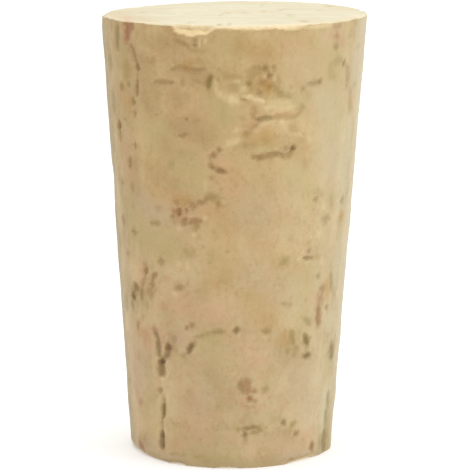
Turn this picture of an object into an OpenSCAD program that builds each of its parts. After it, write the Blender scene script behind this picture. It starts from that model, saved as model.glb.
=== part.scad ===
// Tapered stopper ground from one piece of natural cork bark.
// It stands on its small end: origin at the centre of that end, +Z up to the
// wide end, -Y towards the side that shows the open crack and the rim chip.

/* [Body] */
// Diameter of the wide end
top_d = 22.9; // [20:0.1:26]
// Diameter of the small end
bottom_d = 17.6; // [15:0.1:19]
// Length from the small end to the wide end
length = 38; // [38:0.5:46]
// Rounding of the wide rim
top_edge_r = 0.3; // [0.15:0.05:0.6]
// Rounding of the small rim
bottom_edge_r = 0.45; // [0.15:0.05:0.8]

/* [Bark marks] */
// Depth of the upright slit near the small end
slit_depth = 0.9; // [0.3:0.1:1.5]
// Width of the upright slit at the surface
slit_w = 0.28; // [0.15:0.01:0.5]
// Length of the chip along the wide rim
chip_l = 3.3; // [1.5:0.1:5]
// Depth of the chip, measured into the rim's corner
chip_depth = 0.42; // [0.15:0.01:0.8]
// How deep the bark's pores and cracks are, against their natural depth
pore_depth_k = 1; // [0.5:0.1:1.5]

/* [Hidden] */
$fn = 96;

r_top = top_d / 2;
r_bot = bottom_d / 2;
taper = atan((r_top - r_bot) / length);

// Radius of the side at a height
function side_r(h) = r_bot + (r_top - r_bot) * h / length;

// Bark pores that lie flat across the side: angle round the side from the
// front, height, length across, opening, depth and lean, largest first
flat_pores = [
    [21, 30.5, 4.2, 0.30, 0.45, -3],   // crack under the raised flake
    [18, 27.5, 3.2, 0.28, 0.40, 0],    // curved crack below it
    [27, 28, 0.9, 0.30, 0.35, 70],     // its upturned end
    [10, 33.5, 2.0, 0.55, 0.40, -20],  // brown pore, upper middle
    [15, 33, 1.3, 0.50, 0.35, 0],
    [26, 32, 2.4, 0.22, 0.30, -18],    // thin crack running down from it
    [38, 33.5, 1.5, 0.35, 0.35, 5],
    [55, 34.5, 1.0, 0.35, 0.30, 10],
    [-20, 34.5, 2.8, 0.30, 0.25, 4],
    [-32, 33.5, 1.9, 0.35, 0.30, 0],
    [-7, 27.5, 1.1, 0.35, 0.40, 12],
    [-8, 26, 1.6, 0.30, 0.40, -30],
    [-26, 22.5, 0.8, 0.70, 0.40, 0],
    [-19, 21.5, 1.6, 0.45, 0.45, -8],
    [-40, 21, 1.0, 0.30, 0.30, 0],
    [-23, 18.5, 1.1, 0.35, 0.30, -25],
    [42, 23.5, 0.8, 0.45, 0.40, 0],
    [52, 21.5, 0.7, 0.50, 0.35, 0],
    [41, 18, 1.0, 0.40, 0.40, 25],
    [28, 18, 1.3, 0.25, 0.25, -10],
    [16, 12, 2.8, 0.15, 0.20, 0],      // thin growth line
    [-12, 12, 2.2, 0.15, 0.20, -8],
    [9, 3.5, 2.0, 0.30, 0.30, 4],
    [31, 4, 0.9, 0.25, 0.25, 0]
];

// Marks that run up the side: angle, height of the middle, length, opening,
// depth and lean
upright_cracks = [
    [-42, 10.5, 2.6, 0.35, 0.50, -16], // left arm of the forked crack
    [-34, 10, 2.4, 0.35, 0.50, 38],    // right arm
    [-39, 8.5, 1.9, 0.50, 0.55, 0],    // its foot
    [-22, 10.5, 1.2, 0.50, 0.45, 35],  // short pore beside the fork
    [-48, 34, 4.0, 0.22, 0.30, -9],    // long crack, upper left
    [-50, 31, 2.2, 0.25, 0.30, 6],
    [-10, 33.5, 1.4, 0.35, 0.35, 0],
    [-47, 17, 1.0, 0.35, 0.35, 0],
    [-43, 16, 1.4, 0.35, 0.40, 0],
    [-59, 14.5, 1.2, 0.35, 0.35, 0],
    [-52, 14.5, 0.8, 0.35, 0.35, 0],
    [64, 32, 3.6, 0.22, 0.30, 4],      // long line, upper right
    [68, 3.5, 4.5, 0.18, 0.25, 0],     // long line, lower right
    [51, 13.5, 2.4, 0.25, 0.25, 6],
    [30, 11, 1.8, 0.40, 0.30, -12],
    [42, 10.5, 1.0, 0.30, 0.30, 0],
    [66, 9.5, 0.9, 0.35, 0.30, 0],
    [8, 7, 1.3, 0.60, 0.30, -15]
];

// Round pin-hole pores: angle, height, width and depth
round_pores = [
    [2, 12, 0.50, 0.35],
    [-40, 6.5, 0.35, 0.30],
    [-18, 21, 0.50, 0.40],
    [-10, 25.5, 0.35, 0.30],
    [-21, 30.5, 0.35, 0.25],
    [-21, 29, 0.45, 0.20],
    [-28, 15.5, 0.60, 0.25],
    [-37, 17.5, 0.35, 0.30],
    [65, 22, 0.60, 0.35],
    [42, 18.5, 0.45, 0.35],
    [49, 16.5, 0.40, 0.30],
    [30, 14.5, 0.45, 0.20],
    [11, 6, 0.40, 0.30],
    [7, 3, 0.50, 0.30],
    [39, 3, 0.40, 0.25],
    [38, 9.5, 0.40, 0.25]
];

// Puts its children on the side: X runs across, Z runs up the side and -Y
// points out of the cork
module on_side(angle, h)
    rotate([0, 0, angle]) translate([0, -side_r(h), h]) rotate([taper, 0, 0])
        children();

// Narrow slot that runs out at both ends: long across at no lean
module crack_cut(len, open, depth, lean) {
    d = depth * pore_depth_k;
    a = (len * len / 4 + d * d) / (2 * d);
    rotate([0, -lean, 0]) translate([0, d - a, -open / 2]) cylinder(r = a, h = open);
}

// Shallow round cut
module pore_cut(wide, depth) {
    d = depth * pore_depth_k;
    a = (wide * wide / 4 + d * d) / (2 * d);
    translate([0, d - a, 0]) sphere(r = a, $fn = 32);
}

// The ground blank: a true cone with both rims rounded
module blank() {
    ct = [r_top - top_edge_r * (1 + sin(taper)) / cos(taper), length - top_edge_r];
    cb = [r_bot - bottom_edge_r * (1 - sin(taper)) / cos(taper), bottom_edge_r];
    n = [cos(taper), -sin(taper)];
    rotate_extrude() union() {
        polygon([[0, 0], [cb[0], 0], cb + bottom_edge_r * n, ct + top_edge_r * n,
                 [ct[0], length], [0, length]]);
        translate(ct) circle(r = top_edge_r);
        translate(cb) circle(r = bottom_edge_r);
    }
}

// Chip broken out of the wide rim: a flat floor at half a right angle to the
// end, with one steep and one shallow end
module rim_chip()
    rotate([0, 0, -17]) translate([0, -r_top, length]) rotate([-45, 0, 0])
        translate([0, 0, -2]) linear_extrude(height = 4)
            polygon([[-chip_l / 2 - 0.6, -1], [-chip_l / 2, 0], [-chip_l * 0.15, chip_depth],
                     [chip_l * 0.32, chip_depth], [chip_l / 2, 0], [chip_l / 2 + 0.3, -1]]);

// Upright slit that opens near the small end, pinched in the middle
module lower_slit() {
    on_side(-40, 4.5) rotate([0, 86, 0]) crack_cut(3.6, slit_w, slit_depth, 0);
    on_side(-42, 1.6) rotate([0, 88, 0]) crack_cut(1.7, slit_w * 1.3, slit_depth, 0);
}

module stopper() {
    color([0.80, 0.68, 0.49]) difference() {
        blank();
        rim_chip();
        lower_slit();
        for (p = flat_pores) on_side(p[0], p[1]) crack_cut(p[2], p[3], p[4], p[5]);
        for (p = upright_cracks)
            on_side(p[0], p[1]) rotate([0, 90, 0]) crack_cut(p[2], p[3], p[4], -p[5]);
        for (p = round_pores) on_side(p[0], p[1]) pore_cut(p[2], p[3]);
    }
}

stopper();
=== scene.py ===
import bpy
import math
import numpy as np
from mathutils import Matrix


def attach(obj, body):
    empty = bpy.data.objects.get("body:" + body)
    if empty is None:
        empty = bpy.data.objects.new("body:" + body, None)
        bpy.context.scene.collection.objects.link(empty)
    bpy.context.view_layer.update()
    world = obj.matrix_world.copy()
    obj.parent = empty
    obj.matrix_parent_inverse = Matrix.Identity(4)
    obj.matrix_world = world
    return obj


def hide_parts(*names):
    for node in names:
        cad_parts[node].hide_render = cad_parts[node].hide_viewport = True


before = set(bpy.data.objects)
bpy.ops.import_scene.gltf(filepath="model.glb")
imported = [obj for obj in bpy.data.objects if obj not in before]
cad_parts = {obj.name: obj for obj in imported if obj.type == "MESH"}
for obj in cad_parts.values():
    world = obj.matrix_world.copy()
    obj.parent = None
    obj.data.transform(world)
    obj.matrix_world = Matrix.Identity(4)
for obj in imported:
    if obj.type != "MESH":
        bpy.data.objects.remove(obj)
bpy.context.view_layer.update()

# ---------------------------------------------------------------------------
# Sizes, in millimetres here and in metres in the scene. The angle th goes
# round the side from the front (-Y) towards +X, z up from the small end.
# ---------------------------------------------------------------------------
H = 38.0          # length
RT = 11.45        # radius of the wide end
RB = 8.8          # radius of the small end
LEAN = 0.28       # how far the wide end sits to the right of the small end
K = (RT - RB) / H
SH = LEAN / H
NC = 328          # columns round the side, a multiple of 8
CAP = NC // 8     # rings of each end's square grid
ARC_B, ARC_T = 7, 7   # rows in each rim's rounding
NR = 258          # rows on the side, rims included

# The photograph's camera: place in mm, pitch down, focal length in pixels of a
# 470 px frame. Marks seen on the front are given in that frame.
CAM = np.array([0.231, -235.2, 61.49])
PITCH = math.radians(10.333)
FOC = 2748.0
FW = np.array([0, math.cos(PITCH), -math.sin(PITCH)])
RI = np.array([1.0, 0, 0])
UP = np.array([0, math.sin(PITCH), math.cos(PITCH)])


def side_r(z):
    return RB + K * z


def on_cork(x, y):
    """Angle (rad) and height (mm) where the ray of pixel x, y meets the side."""
    d = FW * FOC + RI * (x - 235) - UP * (y - 235)
    d = d / np.linalg.norm(d)
    c, e = CAM.copy(), d.copy()
    c[0] = CAM[0] - SH * (CAM[2] - H / 2)
    e[0] = d[0] - SH * d[2]
    a = e[0] ** 2 + e[1] ** 2 - (K * e[2]) ** 2
    r0 = RB + K * c[2]
    b = 2 * (c[0] * e[0] + c[1] * e[1] - r0 * K * e[2])
    q = c[0] ** 2 + c[1] ** 2 - r0 ** 2
    disc = max(b * b - 4 * a * q, 0.0)
    p = c + e * (-b - math.sqrt(disc)) / (2 * a)
    return math.atan2(p[0], -p[1]), p[2]


# ---------------------------------------------------------------------------
# Seeded gradient noise
# ---------------------------------------------------------------------------
def _hash(ix, iy, iz, seed):
    h = (ix.astype(np.uint64) * np.uint64(374761393) + iy.astype(np.uint64) * np.uint64(668265263)
         + iz.astype(np.uint64) * np.uint64(2147483647) + np.uint64(seed * 1274126177 + 97)) & np.uint64(0xFFFFFFFF)
    h = ((h ^ (h >> np.uint64(13))) * np.uint64(1274126177)) & np.uint64(0xFFFFFFFF)
    h = ((h ^ (h >> np.uint64(16))) * np.uint64(2246822519)) & np.uint64(0xFFFFFFFF)
    return h ^ (h >> np.uint64(15))


def noise(p, seed=0):
    p = np.asarray(p, float) + 1000.0
    i = np.floor(p).astype(np.int64)
    f = p - i
    u = f * f * f * (f * (f * 6 - 15) + 10)
    out = np.zeros(len(p))
    for dx in (0, 1):
        for dy in (0, 1):
            for dz in (0, 1):
                h = _hash(i[:, 0] + dx, i[:, 1] + dy, i[:, 2] + dz, seed)
                gx = (h & np.uint64(1023)).astype(float) / 511.5 - 1
                gy = ((h >> np.uint64(10)) & np.uint64(1023)).astype(float) / 511.5 - 1
                gz = ((h >> np.uint64(20)) & np.uint64(1023)).astype(float) / 511.5 - 1
                w = (u[:, 0] if dx else 1 - u[:, 0]) * (u[:, 1] if dy else 1 - u[:, 1]) * (u[:, 2] if dz else 1 - u[:, 2])
                out += w * (gx * (f[:, 0] - dx) + gy * (f[:, 1] - dy) + gz * (f[:, 2] - dz))
    return out * 1.4


def fbm(p, octaves=4, seed=0, gain=0.5):
    out, a, s = np.zeros(len(p)), 1.0, 1.0
    for k in range(octaves):
        out += a * noise(p * s, seed + 17 * k)
        a *= gain
        s *= 2.03
    return out


def sstep(a, b, x):
    t = np.clip((x - a) / (b - a), 0, 1)
    return t * t * (3 - 2 * t)


# ---------------------------------------------------------------------------
# The blank: side rows, rounded rims and two end grids
# ---------------------------------------------------------------------------
def col_angle(t):
    """Angle of a column, t from 0 to 1; columns stand closer at the front."""
    return 2 * math.pi * t - 0.24 * np.sin(2 * math.pi * t)


def wrap(a):
    return (a + math.pi) % (2 * math.pi) - math.pi


tcol = np.arange(NC) / NC
thc = col_angle(tcol)
taper = math.atan2(RT - RB, H)
ct_, st_ = math.cos(taper), math.sin(taper)


def rim_noise(th, seed):
    p = np.stack([np.cos(th) * 3.1, np.sin(th) * 3.1, np.full_like(th, 0.5)], 1)
    return fbm(p, 4, seed)


def bump_at(th, c, w):
    return np.exp(-(wrap(th - math.radians(c)) / math.radians(w)) ** 2)


# the rims are worn unevenly: the small end's rim is roundest at the lower left
rb_ = 0.26 + 0.10 * rim_noise(thc, 5) + 0.58 * bump_at(thc, -72, 21) - 0.27 * bump_at(thc, 72, 30) - 0.15 * bump_at(thc, 20, 16) - 0.09 * bump_at(thc, 46, 14) + 0.25 * bump_at(thc, 170, 25)
rt_ = 0.20 + 0.07 * rim_noise(thc, 9) + 0.12 * bump_at(thc, 150, 30) + 0.20 * bump_at(thc, -98, 22)
rb_ = np.clip(rb_, 0.07, 1.1)
rt_ = np.clip(rt_, 0.12, 0.6)

rows_r, rows_z, rows_nr, rows_nz = [], [], [], []
cbx = RB - rb_ * (1 - st_) / ct_
ctx = RT - rt_ * (1 + st_) / ct_
for k in range(ARC_B):           # from the flat of the small end round to the side
    a = (-math.pi / 2) + (math.pi / 2 - taper) * k / (ARC_B - 1)
    rows_r.append(cbx + rb_ * math.cos(a)); rows_z.append(rb_ + rb_ * math.sin(a))
    rows_nr.append(np.full(NC, math.cos(a))); rows_nz.append(np.full(NC, math.sin(a)))
zb = rb_ - rb_ * st_
zt = H - rt_ - rt_ * st_
n_mid = NR - ARC_B - ARC_T
for k in range(1, n_mid + 1):
    z = zb + (zt - zb) * k / (n_mid + 1)
    rows_r.append(side_r(z)); rows_z.append(z)
    rows_nr.append(np.full(NC, ct_)); rows_nz.append(np.full(NC, -st_))
for k in range(ARC_T):
    a = -taper + (math.pi / 2 + taper) * k / (ARC_T - 1)
    rows_r.append(ctx + rt_ * math.cos(a)); rows_z.append(H - rt_ + rt_ * math.sin(a))
    rows_nr.append(np.full(NC, math.cos(a))); rows_nz.append(np.full(NC, math.sin(a)))
R2 = np.array(rows_r); Z2 = np.array(rows_z); NRr = np.array(rows_nr); NZ = np.array(rows_nz)
TH2 = np.broadcast_to(thc, R2.shape)

# ring grids of the two ends
def cap_rings(rim_r):
    """Vertices inside an end's rim: rings CAP-1 down to 0 of a square grid."""
    ij, th, rr = [], [], []
    for k in range(CAP - 1, 0, -1):
        m = np.arange(8 * k)
        t = m / (8.0 * k)
        a = col_angle(t)
        rc = np.interp(t, np.append(tcol, 1.0), np.append(rim_r, rim_r[0]))
        e = ((m + k) // (2 * k)) % 4
        o = (m + k) % (2 * k) - k
        i = np.select([e == 0, e == 1, e == 2, e == 3], [o, k, -o, -k])
        j = np.select([e == 0, e == 1, e == 2, e == 3], [-k, o, k, -o])
        ij.append(np.stack([i, j], 1)); th.append(a); rr.append(rc * k / CAP)
    ij.append(np.array([[0, 0]])); th.append(np.array([0.0])); rr.append(np.array([0.0]))
    return np.concatenate(ij), np.concatenate(th), np.concatenate(rr)


ijb, thb, rrb = cap_rings(R2[0])
ijt, tht, rrt = cap_rings(R2[-1])
n_side = NR * NC
n_cap = len(ijb)

th_all = np.concatenate([TH2.ravel(), thb, tht])
r_all = np.concatenate([R2.ravel(), rrb, rrt])
z_all = np.concatenate([Z2.ravel(), np.zeros(n_cap), np.full(n_cap, H)])
nr_all = np.concatenate([NRr.ravel(), np.zeros(2 * n_cap)])
nz_all = np.concatenate([NZ.ravel(), -np.ones(n_cap), np.ones(n_cap)])
part = np.concatenate([np.zeros(n_side, int), np.full(n_cap, 1), np.full(n_cap, 2)])   # 0 side, 1 small end, 2 wide end
P = np.stack([r_all * np.sin(th_all), -r_all * np.cos(th_all), z_all], 1)
Nn = np.stack([nr_all * np.sin(th_all), -nr_all * np.cos(th_all), nz_all], 1)
NV = len(P)
side = part == 0

# ---------------------------------------------------------------------------
# Marks of the bark, with some painted highlight and painted shade among them. A mark is a stroke: kind, half width
# (mm), strength, depth (mm, inwards), and points; half widths shrink towards its ends.
# ---------------------------------------------------------------------------
KINDS = ["dark", "brown", "red", "olive", "ochre", "pale", "pink", "grey", "sage", "painted_highlight"]
marks = []


def mark(kind, w, s, depth, pts, soft=None, taper_to=0.45):
    """A mark seen on the front, its points in pixels of the photograph's frame."""
    marks.append((kind, w, s, depth, [on_cork(*p) for p in pts], soft, taper_to))


def mark_at(kind, w, s, depth, pts, soft=None, taper_to=0.45):
    """A mark anywhere on the side, its points as (angle in degrees, height in mm)."""
    marks.append((kind, w, s, depth, [(math.radians(a), z) for a, z in pts], soft, taper_to))


# upper left: red stain, the growth line that runs down from it, flat pores
mark("red", .38, .78, .05, [(127.2, 22.6), (126.2, 32), (125.8, 42)], .22)
mark("red", .50, .40, 0, [(130.6, 23), (129.4, 29)], .24)
mark("brown", .44, .60, 0, [(127.8, 23), (127, 40)], .3)
mark("brown", .44, .72, 0, [(124, 23.6), (132, 23.8)], .3)
mark("red", .42, .46, 0, [(124.2, 24), (131.2, 24)], .3)
mark("red", .40, .34, 0, [(123.8, 22.6), (125, 30)], .3)
mark("brown", .62, .24, 0, [(126.2, 22.8), (125.6, 41)], .4)
mark("brown", .42, .62, 0, [(131, 22.8), (131.2, 31)], .25)
mark("olive", .40, .70, .03, [(117, 25), (116.6, 34), (116.4, 44), (117.4, 49)], .18)
mark("olive", .40, .55, .03, [(116.6, 40), (116.2, 46)], .2)
mark("brown", .40, .40, 0, [(118, 24), (117, 46)], .3)
mark("brown", .24, .34, .02, [(110.8, 20.4), (111, 29)], .2)
mark("sage", .9, .7, 0, [(122, 46), (122, 62)], .6)
mark("brown", .9, .15, 0, [(122, 46), (121, 64)], .8)
mark("olive", .55, .60, .02, [(109.4, 53), (109.8, 68)], .4)
mark("olive", .60, .60, .02, [(112, 90), (113.4, 112)], .4)
mark("olive", .40, .40, 0, [(106.8, 40), (107.2, 50)], .4)
mark("brown", .29, .62, .10, [(129.8, 43.5), (132.6, 50), (134, 57), (136, 62)], .17)
mark("brown", .27, .80, .14, [(137, 62.5), (137.6, 70)], .16)
mark("brown", .22, .80, .12, [(136.8, 80), (136.4, 88), (136.2, 95)], .16)
mark("dark", .07, .22, .12, [(130.2, 43.5), (134.4, 56), (137.4, 66), (136.8, 80), (136.2, 94)], .10)
mark("brown", .16, .4, .02, [(140.8, 83), (143.6, 94)], .2)
mark("brown", .5, .3, 0, [(133, 46), (137, 60), (138, 74)], .5)
mark("olive", .46, .55, 0, [(126.4, 62), (126.6, 78)], .3)
mark("ochre", .9, .30, 0, [(124, 62), (125, 80)], .7)
mark("olive", .26, .85, .05, [(128.6, 82), (128.8, 86)], .18)
mark("ochre", .46, .55, .04, [(121.5, 83.6), (121.4, 89)], .2)
mark("brown", .38, .34, .05, [(121.4, 83.8), (121.3, 89)], .16)
mark("ochre", .50, .4, 0, [(121, 92), (122, 100)], .4)
mark("olive", .36, .80, 0, [(121.4, 84), (121.4, 89)], .2)
mark("ochre", .8, .34, 0, [(124, 94), (123, 106)], .6)
mark("olive", .32, .95, .10, [(133.6, 99), (132.4, 103)], .17)
mark("olive", .20, .85, .06, [(134.6, 111), (134.6, 116)], .17)
mark("brown", .26, .58, .08, [(155, 81.8), (163, 81.4), (172.4, 82)], .17, .8)
mark("brown", .26, .3, .03, [(148.4, 104), (148.6, 106)], .25)
mark("brown", .36, .90, .14, [(118.4, 121.5), (119, 129)], .18)
mark("olive", .34, .80, .08, [(119.2, 130), (120, 139)], .2)
mark("olive", .19, .80, .04, [(134.6, 143), (134.6, 148)], .17)
mark("brown", .30, .58, .10, [(129.6, 158), (129.8, 166)], .18)
mark("olive", .34, .45, 0, [(129.7, 157), (130, 167)], .22)
mark("olive", .22, .65, .03, [(132.4, 184), (132.4, 190)], .2)
mark("pink", .30, .5, 0, [(128.6, 169), (128.4, 180)], .3)
mark("olive", .20, .3, 0, [(132, 205), (132.2, 207.6)], .2)
mark("brown", .26, .60, .03, [(124.4, 118), (124.6, 120.5)], .2)
mark("brown", .34, .55, 0, [(121.6, 179), (122.2, 184)], .25)
mark("brown", .38, .60, 0, [(122.4, 216), (122.8, 224)], .25)
mark("brown", .30, .60, 0, [(127, 251), (127.2, 255)], .22)

# under the chip
# a shallow groove under the chip's lower edge, coloured brown partly as painted shade under the chip
mark("brown", .18, .55, .10, [(172.4, 38.4), (176.6, 41), (182, 42.6), (186.4, 45), (188.4, 49)], .17)
mark("brown", .14, .35, .04, [(188, 50.4), (196, 51.4), (205, 51)], .17)
mark("dark", .15, .32, .10, [(194.6, 39), (194.8, 42)], .14)
mark("dark", .18, .30, .14, [(194.6, 44), (194.8, 46)], .14)
mark("pale", .12, .4, 0, [(199.4, 40), (199.6, 46)], .14)
mark("pale", .12, .4, 0, [(204.6, 39), (204.6, 44)], .14)
mark("brown", .08, .3, .03, [(202, 40), (202.2, 47)], .12)
mark("brown", .26, .54, .06, [(170.8, 69.6), (174, 68.8), (178, 66.8), (183, 67), (187, 68.8), (192, 69.6), (198, 69.8), (205, 69.4)], .17, .7)
mark("brown", .16, .7, .06, [(186.4, 68.4), (187, 70.6)], .16)
mark("ochre", .34, .55, 0, [(186, 69.8), (187.6, 65), (189.4, 62.8)], .26)
mark("brown", .28, .45, .03, [(185.4, 69), (187.6, 69.6)], .2)
mark("brown", .26, .26, 0, [(191, 72.6), (191.6, 78)], .26)
mark("brown", .14, .35, .03, [(188, 65.6), (192, 63.6), (199, 63)], .18)
mark("pale", .14, .25, 0, [(195, 66.6), (199, 67)], .18)
mark("brown", .30, .36, 0, [(182.6, 77), (182.8, 86)], .25)
mark("brown", .22, .3, 0, [(185, 93), (186, 99)], .25)
mark("brown", .21, .46, .02, [(191.6, 79.2), (197, 81), (201.6, 83), (205.6, 84)], .2)
mark("dark", .18, .15, .14, [(210.6, 75.4), (209.4, 80), (208.6, 84)], .15)
mark("dark", .22, .16, .14, [(208.4, 84.4), (208, 87)], .15)
mark("olive", .30, .75, 0, [(210.4, 76), (208.2, 87)], .25)
mark("brown", .23, .52, .08, [(210, 75.4), (208.4, 80.5), (207.4, 87)], .2, .8)
mark("olive", .24, .45, .04, [(218.4, 69), (219, 70.6)], .18)
mark("olive", .26, .36, .03, [(221.6, 73.6), (228, 76.8), (235, 77.8), (240, 77.4)], .17)
mark("olive", .12, .3, .02, [(213, 66), (213.6, 67)], .15)
mark("olive", .45, .35, 0, [(229, 86), (238, 89.6)], .4)
mark("olive", .10, .3, .02, [(215, 80.6), (218, 80.6)], .14)
mark("brown", .14, .4, .03, [(216, 80.6), (219, 80.6)], .17)
# painted highlight: pale lines and a bright spot along a low ridge, which is also lifted
mark("pale", .18, .40, -0.03, [(214.4, 80), (215.2, 86), (216, 92.4)], .2)
mark("pale", .26, .38, -0.03, [(218, 94), (222.6, 94.6)], .22)
mark("pale", .42, .44, -0.04, [(228.6, 98), (233, 99.6), (236.6, 101)], .28)
mark("pale", .14, .55, -0.03, [(233.4, 81.4), (236.6, 80.6), (239.8, 80.8)], .16)
mark("pale", .34, .30, 0, [(222, 96), (231, 98.4)], .3)
mark("brown", .10, .35, .04, [(176, 117.2), (186, 117.8)], .14)
mark("dark", .17, .38, .12, [(186.2, 117.8), (187.2, 118.6)], .12)
mark("brown", .26, .62, .05, [(178.6, 136.4), (183.6, 134.6), (188.6, 134)], .2)
mark("pale", .30, .14, 0, [(171, 145), (182, 146.5), (195, 146.6)], .3)

# brown pore in the upper middle, and the line that tails off from it
mark("brown", .50, .40, .05, [(250.6, 78), (251.6, 73), (255, 70), (260, 69.4)], .35)
mark("dark", .20, .16, .08, [(262.6, 68.4), (266.4, 67.8)], .16)
mark("dark", .20, .15, .10, [(269.6, 74.6), (270, 77)], .16)
mark("brown", .16, .60, .05, [(274.2, 65), (274.4, 71)], .15)
mark("olive", .28, .95, .10, [(248.4, 82), (248.8, 85.4)], .18)
mark("ochre", .42, .80, .04, [(262, 85.4), (267, 85.6), (271.6, 88)], .24)
mark("brown", .26, .62, .06, [(268, 86.4), (271.6, 88.6)], .2)
mark("brown", .34, .70, .08, [(263, 68.6), (266.6, 68.4)], .24)
mark("brown", .24, .76, .10, [(269.4, 73.4), (270, 77.4)], .18)
mark("brown", .24, .45, .04, [(266.4, 70.4), (269, 73)], .2)
mark("brown", .36, .55, .05, [(258, 84.6), (261.4, 82.2), (265, 84)], .28)
mark("brown", .30, .42, .03, [(272.4, 83.6), (275, 86.6), (275.6, 90.4)], .26)
mark("brown", .18, .38, .03, [(276.8, 75.6), (278, 79), (277.2, 83)], .2)
mark("brown", .26, .46, .05, [(259, 90.6), (259.8, 95)], .22)
mark("brown", .9, .16, 0, [(256, 74), (266, 80), (270, 88)], .8)
mark("sage", .9, .6, 0, [(242, 84), (246, 90)], .6)
mark("ochre", .8, .34, 0, [(250, 88), (258, 89)], .6)
mark("red", .26, .18, 0, [(262, 81.6), (270, 82.6)], .25)
mark("brown", .38, .32, 0, [(258, 83.8), (266, 84.6), (273, 89)], .3)
mark("ochre", .50, .40, 0, [(258, 84), (266, 85), (273, 89)], .3)
mark("ochre", .45, .6, 0, [(262, 90), (272, 92)], .35)
mark("dark", .18, .18, .08, [(259.2, 92), (259.6, 95)], .15)
mark("pale", .15, .50, -0.02, [(264.2, 76), (264.4, 78)], .18)
mark("pale", .14, .36, -.02, [(274.8, 75), (275, 79.6)], .14)
mark("pale", .42, .42, 0, [(243, 87.6), (244.6, 89)], .3)
mark("olive", .40, .35, 0, [(250, 87), (254, 90)], .3)
mark("olive", .28, .52, .08, [(275.4, 88.6), (279, 93), (285, 95)], .22)
mark("olive", .26, .46, .05, [(284, 95), (291, 96.6)], .24)
mark("brown", .16, .30, .06, [(275, 87.6), (278, 92), (283, 94.4)], .16)
mark("brown", .15, .35, .02, [(290.6, 86.6), (291.8, 87.4)], .2)
mark("olive", .26, .70, .03, [(302.4, 88), (304, 90)], .22)
mark("olive", .34, .25, 0, [(306, 92), (309, 99)], .3)
mark("dark", .15, .20, .08, [(307.4, 83.8), (313, 83.4), (318, 82.4)], .14)
mark("dark", .22, .28, .14, [(318.4, 82), (321.4, 80)], .16)
mark("olive", .32, .40, 0, [(309, 83.6), (320, 82)], .25)

# the raised flake, with the crack that bounds it below
# painted highlight: the pale lines along the flake's upper edge and the pale patch on it, besides its lift
mark("pale", .16, .72, -0.07, [(243.6, 96.6), (250, 96), (254.6, 98), (259, 99.4), (264, 101.4)], .15)
mark("pale", .50, .32, 0, [(266, 106.4), (280, 106), (292, 106)], .35)
mark("pale", .12, .22, -.04, [(266, 101), (280, 100), (292, 100)], .16)
mark("brown", .14, .55, .06, [(241, 98.8), (246.8, 99.2)], .14)
mark("brown", .22, .4, .03, [(253.4, 106), (254.6, 113), (253.6, 116)], .22)
mark("brown", .15, .5, .10, [(250.4, 113.6), (253.4, 116.6), (256.4, 118)], .15)
mark("dark", .17, .28, .18, [(256, 118.4), (261, 118.6), (266, 118), (271, 118)], .13)
mark("olive", .24, .4, 0, [(257, 118.6), (271, 118)], .22)
mark("brown", .18, .36, .08, [(271, 116.6), (279, 116), (288, 116.6), (295, 115.6), (300, 112.6)], .2)
mark("pink", .30, .3, 0, [(276, 114.6), (296, 115)], .3)
mark("olive", .30, .55, .06, [(301.6, 105), (301.4, 110)], .24)
mark("olive", .12, .4, .03, [(240.6, 117), (242.4, 119.4), (244, 117.6)], .14)

# the lip under it and its curved crack
# painted highlight: the pale lines along the lip's upper edge, besides its lift
mark("pale", .28, .5, -.04, [(280.4, 120), (282, 123)], .22)
mark("pale", .20, .35, -.03, [(284.4, 124), (287, 130), (288.2, 133)], .2)
mark("pale", .16, .45, -.04, [(288, 133.6), (296, 133.6), (302, 135.4)], .17)
mark("pale", .24, .35, -.03, [(307.8, 137.6), (308.6, 141)], .22)
mark("pale", .14, .4, -.04, [(253.6, 131), (256, 128.6)], .15)
mark("pale", .16, .45, -0.06, [(257, 126.6), (262, 122.8), (268, 121), (276, 120)], .17)
mark("pale", .20, .3, -.03, [(233, 131), (239, 130.4)], .2)
mark("pale", .30, .35, -.03, [(226, 144), (233, 141.6), (241, 139.6)], .25)
mark("olive", .19, .6, .08, [(245, 133.6), (248, 132.4)], .17)
mark("brown", .24, .3, .04, [(250, 129), (254, 125.6), (258, 122)], .22)
mark("ochre", .85, .46, 0, [(259, 137), (266, 136), (271, 140)], .5)
mark("brown", .55, .26, 0, [(262, 138.6), (270, 140)], .5)
mark("olive", .40, .35, 0, [(242, 144.6), (256, 144)], .3)
mark("olive", .30, .35, 0, [(288, 127), (298, 129)], .28)
mark("olive", .14, .25, .02, [(232, 146), (240, 145)], .18)
mark("brown", .25, .55, .10, [(252.6, 156.2), (257, 157.4), (262, 156.6), (268, 154.6), (277, 153.6), (283, 155.4), (288, 155.4), (291.6, 152.4)], .18, .75)
mark("dark", .24, .20, .12, [(257.4, 157.2), (262.4, 156.4)], .15)
mark("dark", .13, .20, .12, [(266, 155), (272, 153.4), (278, 153.6), (284, 155.8)], .14)
mark("dark", .25, .66, .16, [(292.2, 146), (292, 150)], .15)
mark("brown", .32, .55, .04, [(283.6, 146.6), (286.6, 149.6)], .22)
mark("brown", .20, .46, .09, [(292, 150.4), (288.6, 154.8), (283, 155.2)], .16)
mark("olive", .20, .3, 0, [(305, 160), (305.2, 169)], .2)

# middle left
mark("brown", .27, .68, .12, [(211.4, 155.6), (215.4, 154.4)], .17)
mark("brown", .20, .65, .08, [(216.6, 150.6), (221, 149.6)], .17)
mark("brown", .14, .4, .06, [(208, 156), (211, 155.8)], .16)
mark("brown", .22, .68, .12, [(209, 163), (212, 166.6), (215, 169)], .17)
mark("dark", .18, .36, .16, [(216.6, 170.2), (220, 170.4), (223.6, 171.2)], .14)
mark("brown", .18, .60, .06, [(223, 171), (226, 171.6)], .16)
mark("brown", .24, .55, .04, [(213.6, 167.6), (218, 170), (223, 171.4)], .2)
mark("brown", .18, .3, .03, [(209.6, 157.6), (208.6, 162.6)], .2)
mark("brown", .25, .5, .06, [(209.6, 177.6), (211.6, 178.6)], .2)
mark("olive", .22, .4, .02, [(172.6, 161), (170.6, 165), (167.6, 167.6)], .2)
mark("brown", .14, .25, .02, [(235, 184.8), (236.4, 185.4)], .2)

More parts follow.
